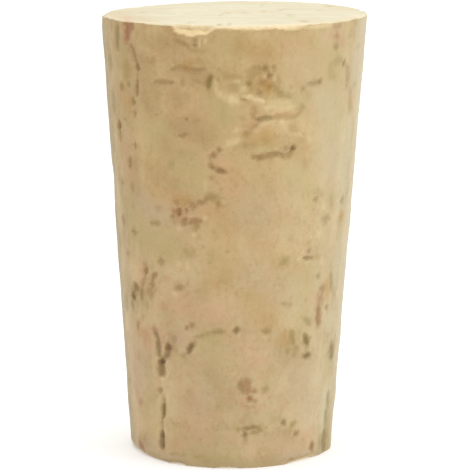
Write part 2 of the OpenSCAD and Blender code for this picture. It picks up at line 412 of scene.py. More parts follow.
# the broken group of pores in the middle left
mark("brown", .27, .88, .12, [(178.9, 208.6), (178.6, 214.6)], .15)
mark("brown", .46, .28, .03, [(178.2, 209), (178.4, 214)], .2)
mark("red", .24, .50, .02, [(173.6, 209.6), (173.8, 212.4)], .2)
mark("red", .19, .34, 0, [(174.9, 209), (174.7, 223)], .22)
mark("brown", .22, .62, .06, [(171.8, 214.6), (172.2, 216.6)], .16)
mark("brown", .34, .46, .04, [(174.6, 202), (178.6, 203.6)], .24)
mark("brown", .22, .68, .08, [(185.4, 208.4), (185.8, 212)], .16)
mark("brown", .40, .58, .07, [(192.4, 203), (192, 208.6)], .18)
mark("brown", .28, .46, .03, [(187, 201.6), (192, 202.4)], .2)
mark("brown", .26, .62, .06, [(197.4, 202.4), (203, 201.8)], .18)
mark("olive", .40, .60, .04, [(204, 200.4), (210, 197.4), (217, 197)], .24)
mark("olive", .26, .50, .06, [(218.6, 200.6), (218.4, 205)], .18)
mark("olive", .24, .3, .02, [(218.4, 206), (218, 209.6)], .22)
mark("olive", .10, .3, .02, [(221, 205.6), (228, 205.2)], .14)
mark("pale", .12, .3, 0, [(221.8, 199.6), (222, 203)], .14)
mark("brown", .28, .40, .03, [(218.8, 200), (218.2, 206)], .22)
mark("brown", .36, .22, 0, [(206, 199), (214, 197.6)], .3)
mark("brown", .8, .20, 0, [(174, 207), (186, 206), (196, 204)], .7)
mark("ochre", .60, .46, 0, [(173, 200), (181, 201), (190, 199.6)], .5)
mark("brown", .50, .20, 0, [(173, 202), (190, 200)], .4)
mark("ochre", .34, .50, 0, [(178.9, 208), (178.6, 215)], .3)
mark("brown", .7, .18, 0, [(184, 221), (198, 223)], .6)
mark("pink", .6, .4, 0, [(196, 209), (210, 208)], .5)
mark("pale", .14, .3, 0, [(208.6, 202.4), (210.6, 202.4)], .16)
mark("brown", .30, .62, .10, [(185.4, 217.8), (184.4, 222), (182.8, 224)], .16)
mark("brown", .28, .62, .10, [(189.4, 223), (192.4, 220.8), (200.4, 221)], .16)
mark("olive", .32, .62, .06, [(195.6, 225), (196, 229)], .18)
mark("red", .60, .18, 0, [(174, 219), (184, 216)], .4)
mark("pink", .50, .4, 0, [(196, 213), (206, 211)], .4)
# painted highlight: these two pale spots
mark("pale", .20, .4, -.02, [(204.2, 217.4), (205, 219.2)], .2)
mark("pale", .20, .45, -.02, [(193.8, 234), (195, 235.6)], .2)
mark("pale", .30, .25, 0, [(178, 228), (180.6, 229.4)], .25)
mark("pale", .10, .25, 0, [(204.6, 181), (204.6, 191)], .16)
mark("brown", .26, .35, .02, [(157.4, 206.4), (158.4, 209.6)], .22)
mark("olive", .19, .75, .06, [(151, 223.4), (155, 222.8), (159.4, 223.4)], .18)
mark("olive", .46, .62, .05, [(134, 230.4), (134.4, 233.6)], .2)
mark("brown", .28, .34, .02, [(132, 230), (133, 233)], .2)
mark("olive", .28, .4, .03, [(185, 250), (188, 254.6), (193, 255), (193.6, 250)], .22)
mark("brown", .36, .46, .05, [(158.6, 261.8), (163.2, 261.2)], .18)
# painted highlight: these two pale spots
mark("pale", .28, .3, -.02, [(178, 263), (179.4, 265)], .24)
mark("pale", .13, .35, -.02, [(187.4, 263), (187.6, 269)], .16)

# short upright slits at the left
mark("brown", .34, .84, .08, [(145.7, 266.6), (145.4, 274.4)], .15)
mark("brown", .40, .42, .02, [(145.4, 261.6), (145, 279.6)], .24)
mark("brown", .30, .56, .02, [(143.6, 278), (142.6, 287)], .2)
mark("brown", .25, .80, .05, [(156.4, 272.6), (153.6, 276.4), (151.4, 280.4)], .17)
mark("brown", .50, .66, .05, [(150.6, 284), (153, 285)], .18)
mark("brown", .32, .52, .04, [(150, 288), (147.8, 292.4)], .2)
mark("brown", .24, .45, .03, [(155.2, 288), (155, 292)], .17)
mark("brown", .40, .78, .05, [(134.6, 284), (136.4, 287.6), (135.2, 290.6)], .18)
mark("dark", .42, .50, .06, [(133.6, 293.6), (133.8, 298)], .16)
mark("brown", .34, .68, .03, [(141.8, 287), (141.2, 298)], .22)
mark("olive", .30, .70, .02, [(132.2, 302.4), (132.4, 307.4)], .2)
mark("olive", .16, .50, .02, [(147, 302.6), (147.1, 308)], .18)
mark("brown", .34, .50, .02, [(151.4, 275), (151.6, 291)], .3)
mark("brown", .44, .46, .02, [(135.8, 287), (134, 292), (133.6, 298)], .26)
mark("brown", .34, .30, .02, [(132.2, 302), (132.4, 308)], .24)
mark("olive", .40, .55, 0, [(135.4, 285), (136, 290)], .25)
mark("grey", .60, .30, 0, [(125.6, 293), (126.6, 309)], .4)
mark("olive", .60, .5, 0, [(125.4, 293), (126.2, 310)], .35)
mark("brown", .34, .35, .02, [(135, 285), (134, 298)], .3)
mark("brown", .30, .54, .02, [(152.6, 291), (150, 297)], .26)
mark("brown", .9, .14, 0, [(151, 274), (149, 298)], .8)
mark("brown", .30, .25, .02, [(152, 264), (152, 271)], .26)
mark("olive", .22, .4, .02, [(137.6, 299), (137.4, 306)], .2)
mark("olive", .50, .80, .03, [(134, 291.6), (133.6, 299)], .3)
mark("pale", .8, .22, 0, [(133, 262), (133, 280)], .6)
mark("olive", .18, .35, .02, [(143.6, 299), (143.4, 306)], .2)
mark("pink", .60, .45, 0, [(141, 262), (141.4, 284)], .4)
mark("olive", .30, .70, .06, [(175.8, 287), (182.4, 287)], .2)
mark("pale", .22, .3, 0, [(173, 293.6), (176, 294.4)], .22)
mark("brown", .20, .2, 0, [(186.4, 293.6), (188.4, 294.4)], .2)

# lower left: the forked crack, its stem and side pore
mark("brown", .24, .42, .04, [(137.6, 322.6), (137.4, 328)], .18)
mark("ochre", .40, .45, 0, [(138, 331), (139, 338)], .35)
mark("ochre", .30, .65, 0, [(137.9, 320.6), (137.6, 331)], .22)
mark("pink", .85, .60, 0, [(143.4, 327), (145.4, 350)], .7)
mark("olive", .18, .3, .02, [(140, 321), (144.6, 315.6)], .2)
mark("red", .75, .18, 0, [(145.4, 332), (145, 340)], .5)
mark("ochre", .75, .28, 0, [(145, 331), (144.8, 343)], .6)
mark("red", .30, .35, 0, [(138.2, 354), (138.4, 357.6)], .25)
mark("pink", .30, .4, 0, [(142, 346), (142.6, 351)], .3)
mark("dark", .22, .16, .05, [(154, 327.4), (155.6, 333.6)], .16)
mark("red", .36, .46, 0, [(153.6, 327), (156, 335)], .22)
mark("dark", .22, .44, .12, [(156, 334), (157.7, 340.6), (158.1, 348), (158.8, 355)], .15, .8)
mark("olive", .32, .42, 0, [(157.7, 341), (158.2, 354)], .24)
mark("brown", .10, .4, .12, [(159.6, 354), (161, 358.6)], .14)
mark("dark", .30, .58, .14, [(167.6, 345), (168.8, 350.6)], .15)
mark("dark", .22, .46, .18, [(168.2, 351.6), (166.2, 355), (164, 358.6)], .15, .8)
mark("brown", .46, .50, .02, [(171.6, 339), (175.6, 338.4)], .22)
mark("brown", .18, .50, .03, [(169.6, 332), (169.6, 338.6)], .17)
mark("brown", .54, .58, .02, [(168, 342), (169.6, 352)], .34)
mark("brown", 1.0, .34, 0, [(166, 340), (174, 346)], .8)
mark("grey", 1.0, .44, 0, [(174, 336), (188, 340)], .8)
mark("brown", .60, .24, 0, [(167, 338), (176, 350)], .5)
mark("brown", .30, .40, .02, [(173.6, 346), (172.6, 352)], .28)
mark("pink", .8, .4, 0, [(160, 334), (166, 342)], .7)
mark("brown", .16, .25, 0, [(163.6, 328), (164.6, 329.4)], .18)
mark("pale", .14, .4, -.02, [(163.2, 345), (163.4, 351)], .16)
mark("dark", .36, .68, .30, [(161.4, 359), (161.2, 363.6)], .14)
mark("brown", .44, .40, .12, [(160.6, 366), (161, 371.6)], .14, .9)
mark("dark", .38, .24, .06, [(161, 365), (161.2, 371.4)], .16, .8)
mark("olive", .46, .62, .06, [(160.8, 364.6), (161.4, 373)], .2, .8)
mark("grey", .46, .5, 0, [(162.6, 366), (162.6, 374)], .3)
mark("pale", .16, .5, -.03, [(161.4, 378.4), (163.6, 378.6)], .16)
mark("pale", .08, .35, -.02, [(167, 369), (168, 374), (166.8, 377.6)], .12)
mark("dark", .24, .56, .14, [(191.6, 344.6), (189.8, 348.2), (188.2, 352)], .15)
mark("brown", .40, .46, .03, [(194.6, 342.6), (190.6, 347)], .2)
mark("olive", .26, .55, .03, [(182.4, 356), (185.4, 355)], .2)
mark("pale", .12, .3, 0, [(197.4, 346.6), (194.2, 352.6)], .17)
mark("pale", .20, .2, 0, [(180.6, 348), (180.8, 351)], .22)
mark("brown", .24, .65, .06, [(185.4, 328.4), (187.6, 327.4)], .18)
mark("brown", .20, .60, .04, [(189.4, 326.2), (193.6, 324.6)], .18)
mark("pink", .70, .5, 0, [(176, 335), (190, 338)], .45)
mark("olive", .16, .60, .05, [(195, 337), (204, 335.4), (210, 332.8)], .18)
mark("olive", .20, .75, .06, [(212, 332), (218, 331), (224, 332)], .17)
mark("dark", .27, .34, .14, [(234.2, 330.6), (238.4, 330.2)], .16)
mark("olive", .30, .55, 0, [(234.2, 330.6), (238.4, 330.2)], .2)
mark("pale", .14, .25, 0, [(238.8, 335), (239.6, 335.6)], .16)
mark("olive", .10, .2, .02, [(240, 331), (250, 331.4), (260, 331)], .16)
mark("brown", .22, .50, .06, [(264, 330.6), (268.6, 331.6)], .18)
mark("olive", .22, .55, 0, [(262.4, 330.6), (269.4, 331.6)], .2)
mark("pale", .22, .25, 0, [(264.6, 336.4), (268, 336.6)], .22)

# slits near the small end, the red corner and painted shade along the lower edge
mark("olive", .26, .85, .10, [(160, 388.6), (160, 391.6)], .18)
mark("olive", .18, .62, .10, [(164.3, 397), (163.9, 403)], .17)
mark("dark", .17, .40, .24, [(163.8, 404), (163.1, 410), (162.6, 417)], .14, .7)
mark("olive", .26, .80, 0, [(163.8, 403), (162.8, 416)], .2)
mark("olive", .20, .6, .02, [(163.9, 402), (162.8, 417)], .17)
mark("brown", .11, .55, .14, [(162.2, 418), (161.8, 425), (161.8, 431)], .14)
mark("dark", .25, .58, .28, [(161.9, 433), (162, 438)], .14, .85)
mark("dark", .27, .48, .26, [(161.6, 441.6), (161.9, 446.4)], .14, .85)
mark("brown", .34, .35, .03, [(161.9, 433), (162, 447)], .24)
mark("pale", .12, .3, 0, [(167.2, 395), (167, 400)], .16)
mark("red", .56, .54, .02, [(138.6, 441.6), (141.6, 449)], .3)
mark("red", .50, .24, 0, [(142.6, 440), (146, 444)], .4)
mark("brown", .46, .54, .03, [(139, 443), (142.6, 450)], .3)
mark("brown", .26, .3, 0, [(138, 438), (144, 438.4)], .3)
mark("olive", .34, .34, 0, [(133.2, 404), (134.4, 422), (135, 438)], .3)
mark("ochre", .50, .36, 0, [(139, 434), (146, 434)], .3)
mark("pink", .50, .40, 0, [(138.4, 404), (139.4, 430)], .4)
mark("grey", 1.00, .56, 0, [(148, 440), (154, 446)], .9)
mark("red", .32, .50, 0, [(140, 399), (140.6, 404.6)], .25)
mark("pink", .40, .3, 0, [(138, 410), (138.2, 418)], .3)
mark("pink", .70, .5, 0, [(174, 443), (184, 445)], .45)
mark("olive", .10, .5, .02, [(169, 453.6), (178, 453.4)], .14)
mark("olive", .10, .4, .02, [(180, 455.4), (186, 455)], .14)
# painted shade: the grey and dark lines below, and the last olive line of this group, follow the lower edge
mark("grey", .40, .6, 0, [(150, 453), (160, 457.6), (176, 459.6), (187, 462)], .3, .9)
mark("dark", .09, .20, .02, [(162, 460.4), (172, 461.4), (184, 462.4)], .12, .9)
mark("olive", .12, .4, .02, [(194, 457), (200, 456), (206, 456.6)], .15)
mark("olive", .13, .30, .01, [(148, 453.6), (156, 457), (164, 460.4), (172, 460.8), (182, 461.2), (189, 463.8)], .16, .8)

# lower middle
mark("brown", .36, .56, .05, [(244.6, 380), (250.4, 383.6)], .2)
mark("olive", .34, .52, .05, [(240.2, 381.6), (241, 391)], .2)
mark("red", .28, .62, .03, [(247.2, 385), (248, 394)], .26)
mark("brown", .42, .3, .03, [(244, 382), (247, 391)], .3)
mark("brown", .32, .62, .03, [(241.6, 380.6), (242.2, 392)], .26)
mark("brown", .6, .22, .02, [(245, 382), (250, 392)], .5)
mark("brown", .26, .3, .02, [(242, 391), (245, 394)], .24)
mark("brown", .26, .60, .04, [(252.6, 390.6), (255.4, 392.6)], .2)
mark("red", .26, .46, .05, [(247.6, 397.6), (251.4, 399.4)], .17)
mark("brown", .28, .74, .08, [(247.6, 398.2), (251.8, 399.8)], .15)
mark("brown", .20, .50, .02, [(253.6, 400.6), (257, 401.4)], .16)
mark("pink", .34, .6, 0, [(242.4, 397), (243, 403)], .2)
mark("red", .14, .46, .02, [(241.4, 405), (246, 407.2), (254, 406.6)], .17)
mark("olive", .32, .75, .04, [(264.6, 389.4), (266.6, 389.8)], .22)
mark("olive", .19, .85, .06, [(243.6, 429), (248, 428), (254, 427.2), (258.4, 428.6), (260.6, 430.4)], .17, .8)
mark("dark", .13, .28, .06, [(244, 429), (249, 428), (255, 427.4)], .12)
mark("brown", .16, .60, .04, [(250.4, 432.6), (257, 433)], .16)
mark("dark", .23, .44, .14, [(244.4, 433), (244.8, 436.4)], .16)
mark("brown", .17, .45, .02, [(245.2, 438), (245.8, 442)], .2)
mark("olive", .20, .70, .03, [(237.4, 429.8), (238.8, 429.6)], .17)
mark("olive", .20, .3, .02, [(228, 427.6), (228.4, 429.4)], .2)
mark("brown", .17, .22, .02, [(206, 429), (207, 430)], .18)
mark("dark", .26, .42, .14, [(283.9, 421), (284.2, 424.4)], .17)
mark("olive", .26, .60, .03, [(294.6, 422.6), (291.6, 426.6)], .2)
mark("olive", .60, .25, 0, [(270, 417), (279, 420)], .45)
mark("brown", .30, .70, .06, [(295.4, 432.4), (296.6, 434.4)], .2)
mark("brown", .36, .85, .04, [(312, 443), (312.4, 450)], .2)
mark("brown", .20, .35, .04, [(312, 450), (312.8, 452.6)], .17)
mark("pink", .80, .34, 0, [(292, 436), (314, 435)], .45)
mark("olive", .60, .16, 0, [(286, 430), (302, 446)], .6)
mark("pink", .50, .5, 0, [(283, 450), (286, 455)], .35)
# painted shade along the lower edge: the olive, grey and dark lines from here to the end of this group, apart from the
# short brown spot
mark("olive", .14, .28, .01, [(276, 462.6), (288, 459.6), (300, 457), (312, 454), (324, 450.6)], .17, .9)
mark("brown", .17, .4, .03, [(290.4, 459.4), (292.6, 459)], .16)
mark("grey", .50, .6, 0, [(276, 460), (292, 456.4), (304, 454), (322, 449.6)], .4, .9)
mark("olive", .50, .24, 0, [(206, 463), (240, 464), (274, 461)], .4, .9)
mark("grey", .40, .30, 0, [(206, 464), (240, 465), (270, 463)], .3, .9)
mark("dark", .09, .18, .02, [(288, 460.4), (300, 457.4), (312, 454.6)], .12, .9)

# lower right
mark("ochre", .70, .35, 0, [(281, 334), (285, 340)], .45)
mark("ochre", .30, .4, 0, [(281, 344), (283.6, 344.6)], .3)
mark("olive", .20, .80, .05, [(291.6, 330.6), (292.4, 337), (293.8, 344)], .18)
mark("olive", .24, .60, .03, [(295, 346), (297, 349)], .2)
mark("olive", .22, .60, .03, [(286.6, 351), (288.6, 351.6)], .18)
mark("olive", .18, .60, .03, [(294, 352.6), (294.2, 356)], .17)
mark("dark", .22, .40, .08, [(304, 334.6), (307.6, 343.6)], .16)
mark("olive", .26, .50, .03, [(307, 342), (306.8, 349)], .18)
mark("brown", .12, .25, .02, [(299.6, 331), (302.6, 336)], .18)
mark("olive", .40, .90, 0, [(306.2, 337), (307.4, 344)], .25)
mark("olive", .32, .60, 0, [(302.6, 355.6), (310, 355.2)], .22)
mark("dark", .28, .50, .08, [(303.8, 355.8), (309.2, 355.2)], .16)
mark("olive", .26, .60, .03, [(304.8, 317.8), (309.6, 323.8)], .2)
mark("brown", .20, .3, .02, [(309.2, 323), (309.8, 325)], .18)
mark("olive", .19, .62, .03, [(288.6, 304.6), (291.4, 305)], .18)
mark("olive", .16, .62, .02, [(282, 303.8), (288, 304.2)], .18)
mark("dark", .36, .12, .04, [(331.6, 346), (331.4, 349)], .18)
mark("dark", .48, .18, .05, [(331.4, 352.6), (331.4, 357)], .2)
mark("olive", .66, .85, 0, [(331.8, 344), (331.6, 359)], .3)
mark("brown", .46, .58, .04, [(322.6, 286.8), (321.6, 291.6)], .18)
mark("red", .42, .40, .04, [(321, 296.4), (320, 302.4)], .2)
mark("brown", .36, .70, .08, [(318.8, 308.6), (318.4, 316), (318.4, 323.6)], .2, .8)
mark("red", .30, .3, 0, [(319.4, 296), (318.6, 320)], .3)
mark("brown", .62, .30, 0, [(322, 288), (320.4, 299), (318.6, 310), (318.2, 324)], .35)
mark("pink", .70, .5, 0, [(311.6, 297), (313, 305)], .4)
mark("ochre", .34, .70, 0, [(326.6, 281), (327, 297)], .3)
mark("olive", .22, .70, .03, [(331, 275), (331.2, 289)], .2, .8)
mark("olive", .20, .35, .02, [(334, 287), (334.2, 299)], .22)
mark("olive", .26, .75, .04, [(326.4, 304.6), (326.6, 309.4)], .18)
mark("pale", .24, .35, 0, [(337.6, 292), (337.8, 295)], .22)
mark("olive", .40, .80, .05, [(328.2, 394), (327.6, 405)], .25, .8)
mark("olive", .40, .80, .05, [(326.4, 410), (325.8, 426)], .25, .8)
mark("olive", .60, 1.00, .05, [(324.6, 433), (324, 447.6)], .22, .8)
mark("olive", .40, .45, 0, [(321, 436), (320.6, 448)], .4)
mark("olive", .60, .42, 0, [(329.6, 394), (328, 420), (326.6, 446)], .5)
mark("olive", .70, .30, 0, [(332.4, 352), (331.8, 368)], .5)

# middle right
mark("brown", .38, .55, .05, [(315.4, 197.6), (316.8, 200.6)], .25)
mark("brown", .50, .2, 0, [(313, 192), (322, 193)], .35)
mark("olive", .15, .35, .02, [(331.8, 197), (331.8, 208)], .2)
mark("olive", .48, .65, .03, [(342.6, 198), (342.6, 202.4)], .25)
mark("ochre", .52, .80, .02, [(341.6, 212.6), (341.6, 218.4)], .28)
mark("brown", .40, .50, .03, [(324, 218.8), (328.6, 218.2)], .28)
mark("pale", .34, .24, 0, [(322, 206), (324.4, 207.4)], .28)
mark("pale", .36, .26, 0, [(318, 232.4), (320.4, 233.6)], .28)
mark("pale", .20, .3, 0, [(310.6, 236.4), (311.6, 237.6)], .22)
mark("pale", .20, .3, 0, [(302.8, 250.6), (303.4, 252.6)], .2)
mark("olive", .12, .3, .02, [(288, 240.6), (291.6, 240.4)], .17)
mark("olive", .14, .3, .02, [(303, 244), (304.6, 245)], .17)
mark("olive", .12, .28, .02, [(308, 240.4), (311.6, 240.4)], .17)
mark("brown", .22, .55, .08, [(308.6, 252), (309.6, 250)], .18)
mark("dark", .10, .50, .18, [(304.4, 257.2), (308.6, 258), (313, 257.2)], .13)
mark("ochre", .13, .6, .03, [(313, 257.4), (320.4, 257)], .17)
# painted highlight: this whitish spot
mark("pale", .24, .40, -.02, [(298.6, 258.6), (299.6, 259.4)], .2)
mark("pale", .18, .3, 0, [(306.4, 261.6), (308.8, 261.8)], .2)
mark("pale", .30, .25, 0, [(320, 261), (323, 263)], .28)
mark("olive", .45, .55, 0, [(282.6, 260), (286, 264)], .35)
mark("olive", .24, .70, .05, [(317.6, 276), (319, 276.4)], .18)

# upper right
mark("brown", .30, .28, .02, [(335.6, 25.8), (340, 25.4)], .2)
mark("pale", .15, .55, 0, [(304, 28.2), (312, 27), (322, 25.8), (332, 24.8)], .16)
mark("brown", .28, .42, .02, [(333.6, 26.4), (340.4, 26)], .2)
mark("red", .26, .40, .02, [(337, 34), (337.2, 38)], .28)
mark("pink", .80, .60, 0, [(332, 30), (333, 36)], .35)
# painted highlight and reflection down the right edge: the pale grey-green bands and the grey strip at the very edge
# stand for light caught along that edge
mark("painted_highlight", 1.3, .46, 0, [(349.4, 118), (346, 150), (343.4, 180), (341, 206)], .8)
mark("painted_highlight", 1.1, .34, 0, [(337.4, 246), (335.4, 286)], .8)
mark("painted_highlight", 1.1, .40, 0, [(331.6, 312), (330.6, 330)], .7)
mark("painted_highlight", 1.1, .52, 0, [(326, 388), (323.6, 426)], .7)
mark("painted_highlight", 1.1, .34, 0, [(356, 44), (353, 92)], .8)
mark("grey", .9, .5, 0, [(360.6, 30), (358, 92)], .8)
mark("olive", 1.3, .26, 0, [(119, 172), (121, 222), (122.6, 246)], .9)
mark("olive", 1.1, .28, 0, [(125, 274), (127.2, 306)], .8)
mark("olive", 1.0, .24, 0, [(112, 92), (112.8, 108)], .7)
mark("olive", 1.0, .20, 0, [(116.6, 150), (118.8, 174)], .8)
mark("brown", .40, .36, 0, [(336.8, 34), (336.9, 38.6)], .4)
mark("pink", .8, .45, 0, [(341, 34), (342, 46)], .6)
mark("ochre", .40, .40, 0, [(342.4, 35), (343, 46)], .3)
mark("ochre", .34, .35, 0, [(332, 32), (333, 37)], .3)
mark("brown", .26, .38, 0, [(336.4, 39), (336.4, 48)], .3)
mark("olive", .42, .44, .02, [(336.4, 44.6), (336.4, 49)], .22)
mark("olive", .40, .30, .02, [(330, 65), (331, 72), (330.6, 78)], .35)
mark("sage", 1.20, .80, 0, [(332, 52), (336, 66), (334, 82)], .4)
mark("ochre", 1.0, .22, 0, [(332, 52), (334, 66), (336, 80)], .8)

# broad, faint stains; the pale grey-green ones on the right side are painted highlight
mark("brown", 1.1, .22, 0, [(166, 308), (170, 332), (166, 356)], .9)
mark("brown", 1.2, .17, 0, [(276, 332), (290, 352), (312, 354)], .9)
mark("brown", 1.1, .20, 0, [(276, 142), (304, 144)], .9)
mark("ochre", 1.0, .24, 0, [(226, 176), (238, 176)], .9)
mark("brown", 1.0, .15, 0, [(278, 430), (290, 438)], .9)
mark("brown", 1.1, .16, 0, [(168, 58), (168, 86)], .9)
mark("brown", 1.0, .25, 0, [(116, 44), (138, 50)], .8)
mark("brown", 1.0, .12, 0, [(192, 158), (206, 162)], .9)
mark("brown", .9, .24, 0, [(262, 76), (268, 84)], .8)
mark("brown", 1.0, .13, 0, [(182, 396), (190, 404)], .9)
mark("brown", 1.0, .12, 0, [(246, 366), (252, 370)], .9)
mark("brown", 1.0, .13, 0, [(308, 398), (316, 404)], .9)
mark("pale", 1.1, .22, 0, [(134, 404), (140, 440)], .9)
mark("pale", 1.0, .16, 0, [(152, 412), (156, 446)], .9)
mark("pale", 1.0, .22, 0, [(117, 188), (120, 228)], .8)
mark("pale", 1.0, .14, 0, [(278, 384), (284, 386)], .9)
mark("painted_highlight", 2.0, .17, 0, [(296, 58), (316, 90), (320, 120)], 1.4)
mark("painted_highlight", 1.2, .15, 0, [(340, 84), (340, 110)], .9)
mark("pink", 2.0, .07, 0, [(304, 64), (330, 104)], 1.4)
mark("pale", .8, .16, 0, [(194, 29.6), (206, 30)], .5)
mark("pale", 1.1, .14, 0, [(292, 126), (300, 130)], .9)
mark("brown", .40, .30, 0, [(334, 62), (338, 60), (342, 61)], .35)
mark("olive", .34, .30, 0, [(332, 75), (335, 77)], .3)
mark("brown", .36, .80, .05, [(343.4, 62.2), (344.4, 63.6)], .2)
mark("brown", .32, .42, .05, [(347, 65), (348.2, 76), (346.4, 87)], .22)
mark("brown", .34, .34, .02, [(350.2, 91), (350.4, 109)], .28, .8)
mark("pink", .40, .4, 0, [(306, 50), (306.6, 66)], .35)

# broad tints; the pale grey-green ones on the right side are painted highlight
for w, st, kind, pts in [
        (1.0, .24, "brown", [(176, 70), (206, 77)]), (1.2, .25, "pink", [(176, 92), (198, 112)]), (1.2, .32, "brown", [(142, 60), (152, 104)]), (.9, .22, "brown", [(134, 34), (166, 46)]), (.8, .22, "brown", [(168, 26), (178, 42)]), (.9, .22, "brown", [(170, 78), (176, 106)]), (.7, .22, "brown", [(130, 50), (134, 104)]),
        (.7, .60, "sage", [(122, 56), (124, 80)]), (1.5, .50, "sage", [(150, 124), (164, 142)]), (1.2, .24, "brown", [(176, 124), (204, 138)]),
        (1.3, .50, "sage", [(178, 158), (196, 182)]), (1.0, .30, "ochre", [(148, 162), (158, 198)]), (.8, .20, "brown", [(150, 168), (176, 190)]), (.9, .18, "brown", [(168, 146), (196, 152)]), (1.0, .34, "pink", [(222, 160), (234, 184)]), (.6, .40, "ochre", [(246, 138), (262, 134)]),
        (1.0, .56, "grey", [(140, 199), (162, 215)]), (1.4, .55, "sage", [(140, 234), (172, 250)]), (.8, .37, "pink", [(176, 204), (196, 216)]),
        (1.4, .24, "ochre", [(212, 214), (226, 240), (220, 280)]), (1.6, .24, "grey", [(256, 204), (262, 280)]), (1.2, .24, "ochre", [(250, 240), (274, 256)]), (1.3, .37, "pink", [(172, 302), (226, 312)]),
        (1.1, .34, "ochre", [(250, 300), (266, 322)]), (.9, .50, "sage", [(306, 268), (302, 326)]), (1.0, .37, "pink", [(248, 342), (256, 364)]),
        (1.0, .40, "grey", [(138, 336), (142, 376)]), (1.2, .31, "pink", [(192, 398), (200, 436)]), (1.2, .55, "sage", [(214, 104), (232, 114)]),
        (.7, .37, "pink", [(124, 146), (126, 176)]), (1.0, .31, "pink", [(242, 120), (256, 130)]), (1.2, .45, "grey", [(328, 96), (330, 170)]),
        (1.0, .25, "pink", [(296, 42), (308, 66)]), (1.1, .30, "sage", [(312, 48), (314, 74)]), (1.2, .40, "sage", [(216, 44), (232, 56)]), (.9, .30, "ochre", [(238, 46), (268, 54)]), (.9, .14, "brown", [(240, 48), (262, 56)]), (.8, .26, "ochre", [(228, 74), (262, 82)]), (.8, .16, "brown", [(228, 76), (258, 84)]),
        (.7, .50, "ochre", [(124, 92), (126, 108)]), (1.2, .40, "sage", [(206, 346), (222, 362)]), (1.0, .30, "grey", [(212, 372), (206, 408)]), (1.2, .26, "olive", [(214, 380), (232, 390), (232, 404)]), (.9, .16, "olive", [(246, 412), (262, 438)]),
        (1.3, .30, "grey", [(290, 366), (308, 410)]), (.7, .35, "sage", [(331, 350), (328, 400)]), (1.2, .40, "sage", [(150, 400), (150, 424)]), (.8, .26, "ochre", [(146, 408), (150, 428)]), (1.2, .21, "pink", [(256, 452), (300, 446)]),
        (.9, .45, "sage", [(190, 455), (230, 456)]), (.8, .40, "sage", [(264, 94), (300, 98)]), (1.0, .40, "sage", [(232, 146), (262, 146)]),
        (1.0, .18, "brown", [(132, 150), (134, 196)]), (1.2, .45, "sage", [(330, 100), (334, 128)]), (1.2, .40, "sage", [(296, 170), (312, 204)]), (1.1, .16, "painted_highlight", [(294, 176), (292, 204)]), (1.2, .10, "painted_highlight", [(298, 214), (294, 236)]), (1.0, .24, "painted_highlight", [(292, 284), (296, 304)]),
        (2.2, .22, "painted_highlight", [(334, 36), (342, 90), (332, 150), (330, 240)]), (1.8, .20, "painted_highlight", [(326, 250), (318, 350), (314, 420)]),
        (1.2, .30, "painted_highlight", [(318, 96), (334, 116)]), (1.0, .30, "pink", [(134, 330), (138, 400)]), (1.0, .40, "sage", [(128, 196), (132, 226)])]:
    mark(kind, w, st, 0, pts, 1.0, .8)
# painted shade down the left edge (the olive bands, the last one fading round towards the back) and painted highlight
# down the right edge (the pale grey-green bands, fading round towards the back)
mark_at("olive", 1.8, .48, 0, [(-83, 1), (-85, 12), (-82, 24), (-84, 38)], .8, .95)
mark_at("painted_highlight", 2.5, .36, 0, [(76, 10), (80, 18), (82, 28), (78, 38)], 1.6, .85)
mark_at("painted_highlight", 1.6, .18, 0, [(84, 1), (78, 8), (82, 15)], 1.3, .8)
mark_at("painted_highlight", 2.2, .30, 0, [(97, 0), (101, 10), (98, 22), (102, 38)], 2.6, .97)
mark_at("painted_highlight", 2.4, .16, 0, [(118, 0), (124, 14), (119, 27), (125, 38)], 3.0, .97)
mark_at("olive", 1.6, .16, 0, [(-101, 0), (-106, 16), (-102, 38)], 2.4, .97)

# ---------------------------------------------------------------------------
# The rest of the side, in the same kinds of mark, seeded
# ---------------------------------------------------------------------------
rng = np.random.default_rng(651)
FRONT = 93.0        # degrees either side of the front that are given by the marks above


def put(kind, w, st, depth, pts, soft=None, taper_to=0.45):
    """A mark of the rest of the side; points (degrees, mm), left out where it would reach the front."""
    a = np.degrees(wrap(np.radians([p[0] for p in pts])))
    if np.abs(a).min() > FRONT + math.degrees((w + .2) / RT):
        mark_at(kind, w, st, depth, [(p[0], min(max(p[1], .5), 37.3)) for p in pts], soft, taper_to)


def uni(lo, hi):
    return float(rng.uniform(lo, hi))


def deg(mm_, z):
    """Degrees that a length in mm takes up round the side."""
    return mm_ / float(side_r(np.array(z))) * 57.3


def pore_band(a, z):
    """A pore cut lengthwise: a ragged flat lens, brown, with darker bits in it."""
    ln, w = uni(1.2, 3.6), uni(.14, .32)
    n = 5
    tilt = float(rng.normal(0, .08))
    pts = [(a + deg(ln * (k / (n - 1) - .5), z), z + tilt * k + float(rng.normal(0, .12))) for k in range(n)]
    put(["brown", "brown", "ochre", "olive"][int(rng.integers(0, 4))], w * 1.25, uni(.4, .75), w * .35, pts, uni(.16, .26), .15)
    for _ in range(int(rng.integers(1, 4))):
        c = uni(-.38, .38)
        l2 = uni(.15, .5)
        q = [(a + deg(ln * c - l2, z), z + float(rng.normal(0, .08))), (a + deg(ln * c + l2, z), z + float(rng.normal(0, .10)))]
        put("dark", w * uni(.45, .85), uni(.24, .56), w * uni(.5, 1.0), q, .15)
    if uni(0, 1) < .35:
        put("pale", .16, uni(.3, .6), -.04, [(p[0], p[1] - w - .3) for p in pts[1:4]], .17)


def pore_round(a, z):
    w = uni(.16, .32)
    put("ochre" if uni(0, 1) < .5 else "brown", w * uni(1.8, 2.6), uni(.35, .6), .05, [(a, z - .2), (a + deg(uni(-.3, .3), z), z + .3)], .26)
    put("dark", w, uni(.30, .58), w * .6, [(a, z - w * .5), (a + deg(uni(-.2, .2), z), z + w * .7)], .14)
    if uni(0, 1) < .4:
        put("pale", w * .8, uni(.3, .5), -.03, [(a + deg(w * 2.2, z), z - w), (a + deg(w * 2.4, z), z + w)], .18)


